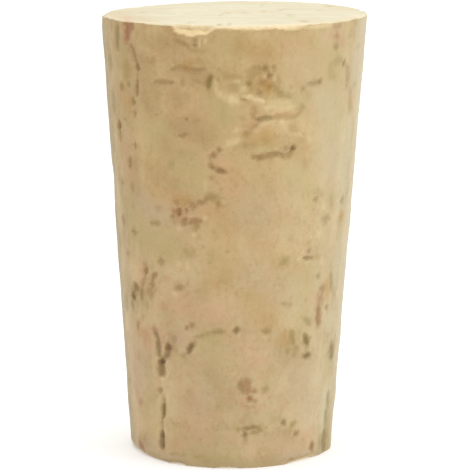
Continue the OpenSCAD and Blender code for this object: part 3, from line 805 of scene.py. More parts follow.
def pore_group(a, z):
    """A broken group of small pores in a loose band."""
    put("brown", uni(.5, .9), uni(.22, .4), .03, [(a - deg(1, z), z), (a + deg(1, z), z + uni(-.5, .5))], .45)
    for _ in range(int(rng.integers(4, 9))):
        a1, z1 = a + deg(float(rng.normal(0, 1.3)), z), z + float(rng.normal(0, .45))
        w, l2 = uni(.10, .24), uni(.05, .5)
        kind = ["dark", "brown", "brown", "olive", "red"][int(rng.integers(0, 5))]
        put(kind, w, uni(.3, .55) if kind == "dark" else uni(.5, .85), w * .6, [(a1 - deg(l2, z), z1), (a1 + deg(l2, z), z1 + float(rng.normal(0, .12)))], .16)
    if uni(0, 1) < .5:
        put("pale", .22, uni(.3, .5), -.03, [(a + deg(uni(-1, 1), z), z - .9), (a + deg(uni(-1, 1), z), z - .7)], .2)


def slit(a, z, ln):
    """An upright slit or a piece of growth line, wandering a little and broken."""
    n = 6
    pts, aa = [], a
    for k in range(n):
        pts.append((aa, z + ln * (k / (n - 1) - .5)))
        aa += deg(float(rng.normal(0, .13)), z)
    w = uni(.10, .20)
    k = int(rng.integers(2, 5))
    put("dark", w, uni(.32, .6), w * uni(.8, 1.6), pts[:k], .13, .6)
    put("brown", w * .8, uni(.35, .7), .06, pts[k - 1:], .15, .6)
    if uni(0, 1) < .5:
        put("red" if uni(0, 1) < .4 else "olive", w * 2.4, uni(.25, .5), 0, pts[1:5], .26)


def fork(a, z, size=1.0, turn=1):
    """A forked crack with a short stem; turn is the side its long arm lies on."""
    j = lambda v: v + float(rng.normal(0, .12))
    k = size
    put("dark", .18 * k, uni(.38, .50), .20, [(a - turn * deg(.7 * k, z), z + j(2.4) * k), (a - turn * deg(.42 * k, z), z + j(1.5) * k), (a, z + .2)], .14, .6)
    put("dark", .24 * k, uni(.40, .56), .22, [(a + turn * deg(.8 * k, z), z + j(1.2) * k), (a + turn * deg(.42 * k, z), z + j(.7) * k), (a, z)], .16, .5)
    put("dark", .28 * k, uni(.5, .66), .28, [(a, z), (a - deg(.06, z), z - .6 * k)], .15)
    put("brown", .28 * k, .7, .12, [(a, z - .6 * k), (a + deg(.12, z), z - j(1.6) * k)], .2, .6)
    put("red", .5, .25, 0, [(a - turn * deg(1.1, z), z + 1.8), (a - turn * deg(.5, z), z + .7)], .3)
    put("brown", .14, .5, .06, [(a + deg(.1, z), z - 2.3 * k), (a + deg(.16, z), z - 3.4 * k)], .16)


def flake(a, z):
    """A torn flake: it lifts at its lower edge, where a crack bounds it."""
    ln = uni(2.4, 4.4)
    sk = uni(-.35, .35)
    n = 7
    top, low = [], []
    for k in range(n):
        f = k / (n - 1) - .5
        bulge = math.cos(f * math.pi) ** .5
        top.append((a + deg(ln * f, z), z + bulge * uni(.25, .60) + sk * f * ln))
        low.append((a + deg(ln * f * .94, z), z - bulge * uni(.55, 1.0) - .15 + sk * f * ln))
    k = int(rng.integers(0, 3))
    # painted highlight: pale lines along the flake's upper edge
    put("pale", .34, uni(.16, .3), -.03, [(p[0], p[1] - .5) for p in top[1:6]], .34)
    put("pale", .12, uni(.25, .5), -.03, top[k:k + 4], .17)
    put("ochre", .5, uni(.25, .45), 0, [(a - deg(ln * .2, z), z - .2), (a + deg(ln * .15, z), z - .3)], .45)
    c = int(rng.integers(2, 5))
    put("dark", .14, uni(.34, .5), .16, low[:c], .14, .4)
    put("brown", .17, uni(.35, .6), .06, low[c - 1:], .2, .3)
    far_plates.append(([*top, *reversed(low)], uni(.05, .10)))


def faint_line(a, z):
    ln = uni(1.5, 4.5)
    pts = [(a + deg(ln * (k / 4 - .5), z), z + float(rng.normal(0, .12)) + .1 * k * uni(-1, 1)) for k in range(5)]
    put("olive", uni(.10, .18), uni(.35, .65), .04, pts, .17)
    if uni(0, 1) < .6:
        k = int(rng.integers(0, 5))
        put("dark", uni(.14, .24), uni(.32, .5), .14, [(pts[k][0] - deg(.1, z), pts[k][1]), (pts[k][0] + deg(.12, z), pts[k][1] + .05)], .15)


far_plates = []
spots = []


def free(a, z, r):
    """True where a mark of radius r mm stands clear of the earlier ones; notes it if so."""
    for a0, z0, r0 in spots:
        dx = math.degrees(abs(float(wrap(math.radians(a - a0))))) / 57.3 * float(side_r(np.array(z)))
        if math.hypot(dx, z - z0) < r + r0:
            return False
    spots.append((a, z, r))
    return True


for a, z, size, turn in ((131, 8.6, .85, 1), (214, 22.4, 1.1, -1)):
    if free(a, z, 2.2):
        fork(a, z, size, turn)
for a, z in ((118, 29.6), (178, 32.4), (200, 7.0), (246, 17.5)):
    if free(a, z, 2.6):
        flake(a, z)
for a, z in ((143, 21.0), (166, 13.0), (236, 30.6), (236, 9.0), (256, 25.0), (104, 17.0), (265, 6.0)):
    if free(a, z, 1.9):
        pore_group(a, z)
for _ in range(330):
    a = uni(FRONT, 360 - FRONT)
    z = uni(1.0, 36.9)
    off = abs(float(wrap(math.radians(a)))) * 57.3
    if uni(0, 1) > min(1.0, .35 + (off - FRONT) / 45):
        continue
    edge_on = abs(math.sin(math.radians(a)))      # 1 where growth layers are cut edge on
    pick = uni(0, 1)
    if pick < .08 + .16 * edge_on:
        if free(a, z, uni(1.1, 1.7)):
            pore_band(a, z)
    elif pick < .28 + .14 * edge_on:
        ln = uni(.7, 2.0 + 2.4 * edge_on)
        if free(a, z, .5 + ln * .32):
            slit(a, z, ln)
    elif pick < .60:
        if free(a, z, uni(.7, 1.1)):
            pore_round(a, z)
    elif pick < .84:
        if free(a, z, uni(1.0, 1.5)):
            faint_line(a, z)
    elif pick < .93:
        if free(a, z, 1.6):
            pore_group(a, z)
    elif free(a, z, 1.0):
        put("red", uni(.3, .5), uni(.3, .6), .04, [(a, z - uni(.4, 1.2)), (a + deg(uni(-.2, .2), z), z + uni(.4, 1.2))], .3)
# small faint marks where the side turns away from the front
for lo, hi in ((66, 95), (265, 290)):
    for _ in range(26):
        a, z = uni(lo, hi), uni(1.5, 36.5)
        if not free(a, z, .9):
            continue
        kind = ["brown", "olive", "ochre", "brown", "pale"][int(rng.integers(0, 5))]
        w, l2 = uni(.14, .30), uni(.1, .5)
        if uni(0, 1) < .4:
            pts = [(a - deg(l2, z), z), (a + deg(l2, z), z + float(rng.normal(0, .08)))]
        else:
            pts = [(a, z - l2 * 1.6), (a + deg(float(rng.normal(0, .1)), z), z + l2 * 1.6)]
        mark_at(kind, w, uni(.22, .45), .03 if kind != "pale" else -.02, pts, .22)
for _ in range(64):                               # broad tints
    a = uni(FRONT - 4, 364 - FRONT)
    z = uni(1.5, 36.5)
    kind = ["sage", "pink", "ochre", "grey", "brown", "sage", "pink"][int(rng.integers(0, 7))]
    put(kind, uni(.7, 1.4), {"brown": .26, "ochre": .34}.get(kind, .55) * uni(.7, 1.1), 0, [(a, z), (a + deg(uni(-1.5, 1.5), z), z + uni(-2, 2))], .9, .8)

# marks of the two ends: x, y in mm from the middle
def end_scatter(seed, n_pore, n_line):
    g = np.random.default_rng(seed)
    out = []
    for _ in range(n_pore):      # pores run front to back through the bark
        r, a = 10.2 * math.sqrt(g.uniform(0, 1)), g.uniform(0, 2 * math.pi)
        x, y = r * math.cos(a), r * math.sin(a)
        ln = g.uniform(.4, 3.0)
        w = g.uniform(.10, .26)
        dx = g.normal(0, .10)
        line = [(x - dx * ln, y - ln / 2), (x + g.normal(0, .08), y), (x + dx * ln, y + ln / 2)]
        out.append(("brown" if g.random() < .6 else "olive", w, g.uniform(.35, .7), w * .5, line, .17, .4))
        if g.random() < .5:
            c = g.uniform(-.3, .3)
            out.append(("dark", w * .7, g.uniform(.3, .55), w * .9, [(x + dx * c, y + ln * c - .12), (x, y + ln * c + .14)], .12, .4))
        if g.random() < .4:
            out.append(("ochre", w * 2.2, g.uniform(.3, .5), .01, line, .3, .5))
    for _ in range(n_line):      # short pieces of growth line, left to right
        y = g.uniform(-9.5, 9.5); x = g.uniform(-8, 8); ln = g.uniform(1.5, 6)
        pts = [(x - ln / 2 + ln * k / 4, y + (x - ln / 2 + ln * k / 4) ** 2 / 150 * -1 + g.normal(0, .10)) for k in range(5)]
        out.append(("olive" if g.random() < .6 else "brown", g.uniform(.08, .22), g.uniform(.2, .45), .02, pts, .2, .4))
    return out


def on_top(x, y):
    """Where a pixel of the photograph's frame falls on the wide end."""
    d = FW * FOC + RI * (x - 235) - UP * (y - 235)
    t = (H - CAM[2]) / d[2]
    return CAM[0] + t * d[0] - SH * H / 2, CAM[1] + t * d[1]


top_marks = end_scatter(12, 17, 8)
# the front rim of the wide end is worn, and its front half carries a creamy painted highlight
top_marks.append(("pale", .55, .85, 0, [(10.75 * math.sin(math.radians(t_)), -10.75 * math.cos(math.radians(t_))) for t_ in range(-34, 38, 4)], .34, .75))
top_marks.append(("pale", .50, .62, 0, [(10.8 * math.sin(math.radians(t_)), -10.8 * math.cos(math.radians(t_))) for t_ in range(-76, -32, 4)], .34, .8))
top_marks.append(("pale", .50, .50, 0, [(10.8 * math.sin(math.radians(t_)), -10.8 * math.cos(math.radians(t_))) for t_ in range(36, 82, 4)], .34, .8))
top_marks.append(("ochre", 1.2, .30, 0, [(-8.2, -2), (-5.6, -6.2)], .9, .7))
top_marks.append(("ochre", 1.5, .66, 0, [(-9.9, 1.5), (-9.6, -2.6), (-7.4, -6.6)], .9, .7))
bot_marks = end_scatter(31, 30, 18)
for kind, w, st, pts in [
        ("ochre", .60, .30, [(112, 12), (122, 11)]), ("ochre", .50, .34, [(112, 16.5), (119, 17)]), ("ochre", .50, .30, [(122, 13), (130, 12.6)]),
        ("brown", .40, .26, [(138, 13.4), (150, 13)]), ("brown", .40, .34, [(155, 13), (163, 13.4)]), ("brown", .40, .30, [(168, 13), (175, 13.6)]),
        ("ochre", .60, .26, [(142, 9), (162, 8.6)]), ("olive", .34, .40, [(184, 13.2), (191, 13.6)]), ("olive", .50, .30, [(206, 15), (220, 15.4)]),
        ("olive", .40, .34, [(256, 15.4), (276, 15.8)]), ("olive", .34, .34, [(294, 15.6), (311, 15.4)]), ("brown", .40, .28, [(278, 8.8), (310, 9)]),
        ("sage", .50, .50, [(286, 18), (295, 18.4)]), ("pink", .50, .40, [(312, 17), (328, 17)]), ("pink", .40, .45, [(334, 15.4), (339, 15.8)]),
        ("pink", .34, .45, [(340, 18), (349, 18)]), ("sage", .50, .60, [(306, 22.6), (324, 22)]), ("sage", .50, .55, [(352, 17.6), (360, 17.2)]),
        ("pink", .44, .95, [(126.6, 15.6), (126.4, 20.8)]), ("red", .38, .62, [(126.6, 16.4), (126.4, 20.8)]),
        # painted shade: the narrow ochre and brown streaks from pixel 161 to 206 darken the wide end along the chip's
        # upper edge, where its riser is in shade
        ("ochre", 1.5, .36, [(148, 9.8), (162, 11.6)]), ("ochre", .42, .62, [(161, 23), (168, 24), (176, 24.6), (188, 25.2)]),
        ("brown", .34, .46, [(170, 25), (182, 26.6)]), ("ochre", .34, .50, [(182, 26.6), (206, 27)]), ("ochre", .40, .46, [(212, 25.4), (229, 26.2)]), ("ochre", 1.6, .34, [(126, 10.6), (150, 8), (166, 7.4)]), ("ochre", .9, .26, [(116, 14), (150, 10)])]:
    top_marks.append((kind, w, st, .004, [on_top(*p) for p in pts], .35, .6))

prof = {k: np.zeros(NV) for k in KINDS}       # 0.5 at a mark's edge, 1 well inside it
power = {k: np.zeros(NV) for k in KINDS}      # its strength
SOFT = {"dark": .12, "brown": .16, "red": .20, "olive": .17, "ochre": .20, "pale": .16, "pink": .34, "grey": .40, "sage": .50, "painted_highlight": .50}
depth_in = np.zeros(NV)
lift = np.zeros(NV)


def stroke(U, V, idx, kind, w, s, depth, pts, soft, taper_to):
    """Adds one stroke, given in the plane of U and V, to the fields of vertices idx."""
    pts = np.array(pts, float)
    seg = np.hypot(*(pts[1:] - pts[:-1]).T)
    L = max(seg.sum(), 1e-6)
    acc = 0.0
    best = np.full(len(U), 1e9)
    tt = np.zeros(len(U))
    for k in range(len(pts) - 1):
        a, b = pts[k], pts[k + 1]
        d = b - a
        dd = max(float(d @ d), 1e-9)
        t = np.clip(((U - a[0]) * d[0] + (V - a[1]) * d[1]) / dd, 0, 1)
        dist = np.hypot(U - a[0] - t * d[0], V - a[1] - t * d[1])
        m = dist < best
        best[m] = dist[m]
        tt[m] = (acc + t[m] * seg[k]) / L
        acc += seg[k]
    ww = w * (taper_to + (1 - taper_to) * np.sqrt(np.clip(np.sin(np.pi * tt), 0, 1)))
    soft = SOFT[kind] if soft is None else soft
    val = np.clip(0.5 + (ww - best) / (4 * soft), 0, 1)
    if soft > .3:
        val = sstep(0, 1, val)
    win = s * val > power[kind][idx] * prof[kind][idx]
    near = (val > 0) & (power[kind][idx] == 0)
    prof[kind][idx] = np.where(win, val, prof[kind][idx])
    power[kind][idx] = np.where(win | near, s, power[kind][idx])
    if depth > 0:
        e = 0.13
        pit = 1 - sstep(-e, e, best - ww)
        depth_in[idx] = np.maximum(depth_in[idx], depth * pit)
    elif depth < 0:
        lift[idx] = np.maximum(lift[idx], -depth * np.exp(-(best / max(ww.max(), .05)) ** 2))


warp = np.stack([noise(P * 1.7, 41), noise(P * 1.7, 42)], 1) * 0.10 + np.stack([noise(P * 5.0, 43), noise(P * 5.0, 44)], 1) * 0.05
side_idx = np.where(side)[0]
TS, ZS = th_all[side_idx], z_all[side_idx]
RS = side_r(ZS)
for kind, w, s, depth, pts, soft, tap in marks:
    pts = np.array(pts)
    mid = math.atan2(np.sin(pts[:, 0]).mean(), np.cos(pts[:, 0]).mean())
    u0 = wrap(pts[:, 0] - mid) * side_r(pts[:, 1])
    pad = w + 2 * (soft or SOFT[kind]) + 0.4
    dth = wrap(TS - mid)
    sel = (ZS > pts[:, 1].min() - pad) & (ZS < pts[:, 1].max() + pad) & (np.abs(dth * RS) < np.abs(u0).max() + pad)
    idx = side_idx[sel]
    k = 2.0 if soft and soft > .3 else 1.0
    stroke(dth[sel] * RS[sel] + warp[idx, 0] * k, ZS[sel] + warp[idx, 1] * k, idx, kind, w, s, depth,
           np.stack([u0, pts[:, 1]], 1), soft, tap)
for which, ms in ((2, top_marks), (1, bot_marks)):
    idx = np.where(part == which)[0]
    for kind, w, s, depth, pts, soft, tap in ms:
        stroke(P[idx, 0] + warp[idx, 0], P[idx, 1] + warp[idx, 1], idx, kind, w, s, depth, pts, soft, tap)

# ---------------------------------------------------------------------------
# Raised plates: outlines in pixels of the photograph's frame
# ---------------------------------------------------------------------------
def plate(outline, h, edge):
    q = np.array(outline)
    mid = math.atan2(np.sin(q[:, 0]).mean(), np.cos(q[:, 0]).mean())
    u0, v0 = wrap(q[:, 0] - mid) * side_r(q[:, 1]), q[:, 1]
    dth = wrap(TS - mid)
    sel = (np.abs(dth * RS) < np.abs(u0).max() + 1) & (ZS > v0.min() - 1) & (ZS < v0.max() + 1)
    idx = side_idx[sel]
    U, V = dth[sel] * RS[sel] + warp[idx, 0] * .6, ZS[sel] + warp[idx, 1] * .6
    inside = np.zeros(len(U), bool)
    best = np.full(len(U), 1e9)
    n = len(u0)
    for i in range(n):
        ax, ay, bx, by = u0[i], v0[i], u0[(i + 1) % n], v0[(i + 1) % n]
        cross = ((ay > V) != (by > V)) & (U < (bx - ax) * (V - ay) / (by - ay + 1e-12) + ax)
        inside ^= cross
        d = np.array([bx - ax, by - ay])
        t = np.clip(((U - ax) * d[0] + (V - ay) * d[1]) / max(d @ d, 1e-9), 0, 1)
        best = np.minimum(best, np.hypot(U - ax - t * d[0], V - ay - t * d[1]))
    sd = np.where(inside, best, -best)
    plates[idx] += h * sstep(-edge, edge, sd)


def plate_seen(outline, h, edge):
    plate([on_cork(*p) for p in outline], h, edge)


plates = np.zeros(NV)
plate_seen([(246, 97), (258, 98.5), (265, 103), (275, 104), (289, 104), (297, 102), (301, 106), (299, 112), (294, 114),
       (284, 114.5), (276, 113.5), (269, 116), (261, 116.5), (255, 113), (253, 106)], .14, .12)
plate_seen([(241, 138), (248, 135.5), (255.6, 128), (263.6, 122), (275, 121), (282, 121), (287.7, 132), (296, 133.5),
       (305, 138), (309.5, 140), (300, 146), (294, 150), (286, 153), (277, 151), (270, 151.5), (264, 154.5),
       (256, 155), (248, 150)], .15, .13)
plate_seen([(214, 88), (222, 95), (234, 100), (241, 102), (248, 108), (246, 116), (236, 112), (224, 106), (214, 98)], .06, .2)

for outline, h in far_plates:
    plate([(math.radians(p[0]), p[1]) for p in outline], h, .12)

# ---------------------------------------------------------------------------
# Relief
# ---------------------------------------------------------------------------
big = fbm(P * 0.16, 3, 3)
mid_n = fbm(P * np.array([.55, .55, .4]), 3, 7)
fine = fbm(P * np.array([2.2, 2.2, 1.7]), 3, 11)
grain = noise(P * np.array([5.2, 5.2, 4.0]), 13)
relief = 0.030 * big + 0.026 * mid_n + 0.014 * fine + 0.007 * grain - 0.02
relief += 0.05 * bump_at(th_all, -88, 12) * np.exp(-((z_all - 4.5) / 1.8) ** 2)
relief -= 0.055 * bump_at(th_all, -90, 40)
relief -= 0.10 * bump_at(th_all, -90, 13) * sstep(H - 1.3, H - .1, z_all)
relief -= 0.09 * bump_at(th_all, -88, 14) * np.exp(-((z_all - 23.9) / 1.2) ** 2)
for zc, amt_ in ((20.0, .06), (9.7, .07), (4.4, .06)):
    relief += amt_ * bump_at(th_all, 90, 14) * np.exp(-((z_all - zc) / 1.1) ** 2)
rough_in = 1 + 0.35 * noise(P * 3.4, 19)
ring = P[:, 1] + P[:, 0] ** 2 / 150 + 0.9 * fbm(P * np.array([.10, .10, .05]), 2, 61) + 0.22 * noise(P * np.array([.5, .5, .25]), 62)
layers = np.stack([ring * 1.5, P[:, 0] * .06, P[:, 2] * .06], 1)
edge_on = sstep(.85, .35, np.abs(np.cos(th_all)) * np.where(np.cos(th_all) > 0, 1, .8))
relief += edge_on * (0.016 * noise(layers, 63) + 0.010 * noise(layers * 2.3, 64))
disp = relief - depth_in * rough_in + lift + plates
# the small end was cut a little out of round: it stands out at the lower right
disp += 0.13 * bump_at(th_all, 77, 8) * np.clip(1 - z_all / 2.6, 0, 1)
disp -= 0.12 * bump_at(th_all, -54, 12) * np.clip(1 - z_all / 1.6, 0, 1)

# Pieces broken or worn off a rim. Each is a list of (angle in degrees, how far
# it reaches along the side, how far in from the rim), in mm, plus its colour.
def seen_chip(end, pts, inset):
    """A chip of the front rim: its lower edge in pixels of the photograph's frame."""
    out = []
    for k, (x, y) in enumerate(pts):
        th, z = on_cork(x, y)
        drop = max(H - z if end > 0 else z, 0.0)
        out.append((math.degrees(th), drop if 0 < k < len(pts) - 1 else 0.0, inset[k]))
    return out


def far_chip(deg, half, drop, inset, lean=0.0):
    R = RT if drop > 0 else RB
    h = math.degrees(half / R)
    d = abs(drop)
    return [(deg - h, 0, 0), (deg - h * (.55 - .3 * lean), d * .8, inset * .9), (deg + h * .1, d, inset),
            (deg + h * (.6 + .3 * lean), d * .55, inset * .6), (deg + h, 0, 0)]


top_chips = [
    # the big chip: a riser under the wide end, then a ledge that slopes out to the side
    # and past it the worn bevel of the front rim, with a nick in it
    (seen_chip(1, [(171.2, 24.6), (172.6, 30.4), (174.8, 33.2), (179, 33.8), (184, 34.9), (188, 36.4), (192, 36.2), (198, 35.6),
                   (205, 35.6), (209.4, 33.4), (212.4, 31.2), (215, 29.9), (219, 29.1), (224, 29.2), (229, 29.8), (236, 30.2),
                   (250, 30.3), (264, 30.3), (273.6, 30.0), (276.6, 28.2), (279.6, 29.9), (286, 30.2),
                   (294, 29.9), (300, 29.2), (306, 27.4), (312, 26)],
               [0, .40, .46, .48, .50, .50, .46, .50, .52, .48, .42, .36, .32, .30, .32, .36,
                .38, .38, .36, .24, .36, .38, .34, .24, .12, 0]), .44, .84,
     [.2, .5, .84, .96, 1, 1, 1, 1, .96, .84, .66, .56, .54, .50, .48, .52, .60, .70, .75, .76, .78, .80, .78, .66, .5, .2]),
    (far_chip(40.5, .42, .10, .12), .5, .5, .3),
    (far_chip(-43, .5, .10, .12), .5, .5, .3),
    (far_chip(-63, .35, .12, .14), .5, .5, .3),
    (far_chip(63, .7, .10, .14), .5, .5, .3), (far_chip(101, 1.3, .42, .38, .5), .45, .6, 1.0),
    (far_chip(139, .8, .20, .22), .5, .5, .6), (far_chip(171, 1.8, .34, .42, -.6), .5, .6, .9),
    (far_chip(205, .5, .18, .16), .5, .5, .5), (far_chip(229, 1.1, .55, .44, .4), .5, .62, 1.0),
    (far_chip(286, 1.2, .16, .22), .5, .5, .5)]
low_chips = [
    (seen_chip(-1, [(166, 463), (171, 461.4), (177, 462.0), (183, 463.6), (188, 466)], [0, .5, .7, .5, 0]), .5, .6, .4),
    (seen_chip(-1, [(212, 467.6), (220, 466.0), (228, 465.9), (236, 466.4), (242, 468)], [0, .4, .5, .4, 0]), .5, .6, .3),
    (seen_chip(-1, [(284, 465), (292, 461.0), (301, 458.2), (308, 456.0), (314, 454.8), (320, 454.8)], [0, .34, .46, .40, .28, 0]), .5, .6, .4),
    (far_chip(97, .8, -.24, .22), .5, .6, .5), (far_chip(150, 1.5, -.36, .34), .5, .6, .6),
    (far_chip(214, .9, -.26, .22), .5, .6, .5), (far_chip(250, .5, -.2, .16), .5, .6, .4)]

base_amt = np.ones(NV)
base_amt[part == 2] = 0.55
base_amt[part == 1] = 0.0
rowi = np.concatenate([np.repeat(np.arange(NR), NC), np.full(2 * n_cap, -1)])
# the small end's flat stays flat, apart from its pits
flat_b = (part == 1) | (rowi == 0)
Q = P + Nn * (disp * np.where(side, 1.0, 0.0))[:, None]
top = (part == 2)
Q[top, 2] = H - 0.012 - 0.016 * np.abs(fbm(P[top] * .35, 2, 23)) - 0.007 * np.abs(noise(P[top] * 4, 29)) - depth_in[top]
Q[part == 1, 2] = depth_in[part == 1] * .9
Q[rowi == 0, 2] = 0.0
# the rims keep their place: relief fades on the rounding's last rows
for r, f in ((0, 0.0), (1, .3), (2, .6)):
    m = rowi == r
    Q[m] = P[m] + (Q[m] - P[m]) * f
m = rowi == NR - 1
Q[m] = P[m] + (Q[m] - P[m]) * .5
Q[m, 2] = np.minimum(Q[m, 2], H)

chip_f = np.zeros(NV)
riser_shade_f = np.zeros(NV)      # painted shade on the steep upper side of a chip, where the end would shade it
cn1 = noise(P * 1.6, 51)
cn2 = noise(P * 4.6, 52)
cn3 = noise(P * 9.0, 53)
for lst, end in ((top_chips, 1), (low_chips, -1)):
    for pts, brk, brk_in, pale in lst:
        p = np.array(pts)
        R = RT if end > 0 else RB
        c0 = math.radians(p[:, 0].mean())
        xs = wrap(np.radians(p[:, 0]) - c0)
        dth = wrap(th_all - c0)
        m = (dth > xs[0]) & (dth < xs[-1]) & (np.abs(z_all - (H if end > 0 else 0)) < 2.0) & (r_all > R - 1.4) & ((part == 0) | (part == (2 if end > 0 else 1)))
        drop = np.interp(dth[m], xs, p[:, 1])
        ins = np.interp(dth[m], xs, p[:, 2])
        tone = np.interp(dth[m], xs, pale) if isinstance(pale, list) else pale
        # crumbled, not smooth: both reaches wander, and less so where the chip is small
        drop = drop * (1 + .10 * cn1[m] + .10 * cn2[m])
        ins = ins * (1 + .16 * cn1[m] + .16 * cn2[m])
        zz = (H - Q[m, 2]) if end > 0 else Q[m, 2]
        rr = np.hypot(Q[m, 0], Q[m, 1])
        rs = np.where(end > 0, side_r(H - zz), side_r(zz))
        u = (drop - zz) + np.clip(rs - rr, 0, None)          # along the surface from the chip's outer edge
        L0 = drop + ins
        fr = np.clip(u / np.maximum(L0, 1e-6), 0, 1)
        inside = (u > 0) & (u < L0) & (drop > .015)
        ra = side_r(H - drop) if end > 0 else side_r(drop)
        # outer edge A, break line B, inner edge C
        bz, br = drop * brk, R - ins * brk_in
        cz, cr = np.zeros_like(drop), R - ins
        l1 = np.hypot(ra - br, drop - bz); l2 = np.hypot(br - cr, bz)
        s_ = fr * (l1 + l2)
        t1 = np.clip(s_ / np.maximum(l1, 1e-6), 0, 1); t2 = np.clip((s_ - l1) / np.maximum(l2, 1e-6), 0, 1)
        nz = np.where(s_ < l1, drop + (bz - drop) * t1, bz + (cz - bz) * t2)
        nr = np.where(s_ < l1, ra + (br - ra) * t1, br + (cr - br) * t2)
        body = np.sin(math.pi * fr) * np.clip(drop / .3, 0, 1)
        nr = nr - body * (.05 * cn2[m] + .025 * cn3[m] + .02)
        nz = nz + body * (.05 * cn1[m] + .03 * cn3[m])
        nz = np.clip(nz, 0, None)
        th = th_all[m]
        new = np.stack([nr * np.sin(th), -nr * np.cos(th), (H - nz) if end > 0 else nz], 1)
        cur = Q[m]
        cur[inside] = new[inside]
        Q[m] = cur
        cf = chip_f[m]
        # painted shade: the chip's pale tone is held back on its inner, steeper part, and that part is noted as the
        # riser for a darker tan
        amt = tone * np.clip(drop / .22, 0, 1) * sstep(0, .06, u) * (.72 + .28 * sstep(.03, .20, u)) * (1 - .66 * sstep(.52, .74, fr) * np.clip(drop / .5 - .5, 0, 1))
        chip_f[m] = np.maximum(cf, np.where(inside, amt, 0))
        riser_shade_f[m] = np.maximum(riser_shade_f[m], np.where(inside, sstep(.48, .66, fr) * (1 - sstep(.93, 1.0, fr)) * np.clip(drop / .5 - .5, 0, 1), 0))

# the wide end wears down a little towards its back left
hx = np.hypot(Q[:, 0], Q[:, 1]) / RT
Q[:, 2] -= (.22 * bump_at(th_all, -140, 36) + .04 * bump_at(th_all, -98, 18)) * sstep(.45, 1.0, hx) * sstep(H - 3.2, H - .3, Q[:, 2])

# lean of the axis
Q[:, 0] += SH * (Q[:, 2] - H / 2)
Q[:, 2] = np.clip(Q[:, 2], 0, H)

# ---------------------------------------------------------------------------
# Mesh
# ---------------------------------------------------------------------------
gid = np.arange(n_side).reshape(NR, NC)
f = []
nxt = np.roll(np.arange(NC), -1)
for r in range(NR - 1):
    f.append(np.stack([gid[r], gid[r, nxt], gid[r + 1, nxt], gid[r + 1]], 1))
quads = np.concatenate(f)


def cap_quads(ij, first, rim_row, up):
    n = 2 * CAP + 1
    g = np.zeros((n, n), int)
    g[ij[:, 0] + CAP, ij[:, 1] + CAP] = first + np.arange(len(ij))
    k = CAP
    m = np.arange(8 * k)
    e = ((m + k) // (2 * k)) % 4
    o = (m + k) % (2 * k) - k
    i = np.select([e == 0, e == 1, e == 2, e == 3], [o, k, -o, -k])
    j = np.select([e == 0, e == 1, e == 2, e == 3], [-k, o, k, -o])
    g[i + CAP, j + CAP] = gid[rim_row][m]
    a, b, c, d = g[:-1, :-1].ravel(), g[1:, :-1].ravel(), g[1:, 1:].ravel(), g[:-1, 1:].ravel()
    return np.stack([a, b, c, d] if up else [a, d, c, b], 1)


q_bot = cap_quads(ijb, n_side, 0, False)
q_top = cap_quads(ijt, n_side + n_cap, NR - 1, True)
faces = np.concatenate([quads, q_bot, q_top])
me = bpy.data.meshes.new("cork_stopper")
me.vertices.add(NV)
me.vertices.foreach_set("co", (Q * 0.001).astype(np.float32).ravel())
me.loops.add(len(faces) * 4)
me.loops.foreach_set("vertex_index", faces.astype(np.int32).ravel())
me.polygons.add(len(faces))
me.polygons.foreach_set("loop_start", np.arange(0, len(faces) * 4, 4, dtype=np.int32))
me.polygons.foreach_set("use_smooth", np.ones(len(faces), bool))
me.update(calc_edges=True)

# own UV map: the side as one strip, each end as a disc
uv = np.zeros((len(faces), 4, 2))
nq = len(quads)
cidx = np.tile(np.arange(NC), NR - 1)
ridx = np.repeat(np.arange(NR - 1), NC)
arc = np.cumsum(np.concatenate([[0], np.hypot(np.diff(R2.mean(1)), np.diff(Z2.mean(1)))]))
arc = arc / arc[-1]
tu = (tcol + 0.5) % 1.0
tu_next = np.where(np.abs(tu - (0.5 - 1 / NC)) < 1e-9, 0.5, tu + 1 / NC)
VS = 0.60
for c, (dc, dr) in enumerate([(0, 0), (1, 0), (1, 1), (0, 1)]):
    uu = tu[cidx] + dc / NC
    uv[:nq, c, 0] = 0.004 + 0.992 * uu
    uv[:nq, c, 1] = 0.004 + VS * arc[ridx + dr]
for block, qs, cx in ((slice(nq, nq + len(q_bot)), q_bot, 0.62), (slice(nq + len(q_bot), None), q_top, 0.21)):
    xy = P[qs][:, :, :2]
    sc = 0.185 / RT
    uv[block, :, 0] = cx + xy[:, :, 0] * sc
    uv[block, :, 1] = 0.804 + xy[:, :, 1] * sc
layer = me.uv_layers.new(name="OFBake")
layer.data.foreach_set("uv", uv.astype(np.float32).ravel())

# ring coordinate: growth layers stand left to right, gently curved and wavy
ring_w = np.where(side, edge_on, 1.0)


def attr(name, vals):
    a = me.attributes.new(name, "FLOAT", "POINT")
    a.data.foreach_set("value", np.asarray(vals, np.float32))


for k in KINDS:
    attr("f_" + k, prof[k])
    attr("s_" + k, power[k])
attr("f_ring", ring)
attr("f_ringw", ring_w)
attr("f_top", np.clip(np.where(part == 2, 1.0, 0.0) + np.where(rowi >= NR - 3, 1.0, 0) + np.where(rowi == NR - 4, .6, 0), 0, 1))
attr("f_bot", np.where(part == 1, 1.0, 0.0))
attr("f_chip", chip_f)
attr("f_riser_shade", riser_shade_f)
attr("f_deep", np.clip(depth_in / .35, 0, 1))

cork = bpy.data.objects.new("cork_stopper", me)
bpy.context.scene.collection.objects.link(cork)


# ---------------------------------------------------------------------------
# Cork material
# ---------------------------------------------------------------------------
def lin(r, g_, b):
    out = []
    for c in (r, g_, b):
        c /= 255.0
        out.append(c / 12.92 if c <= 0.04045 else ((c + 0.055) / 1.055) ** 2.4)
    return (*out, 1.0)


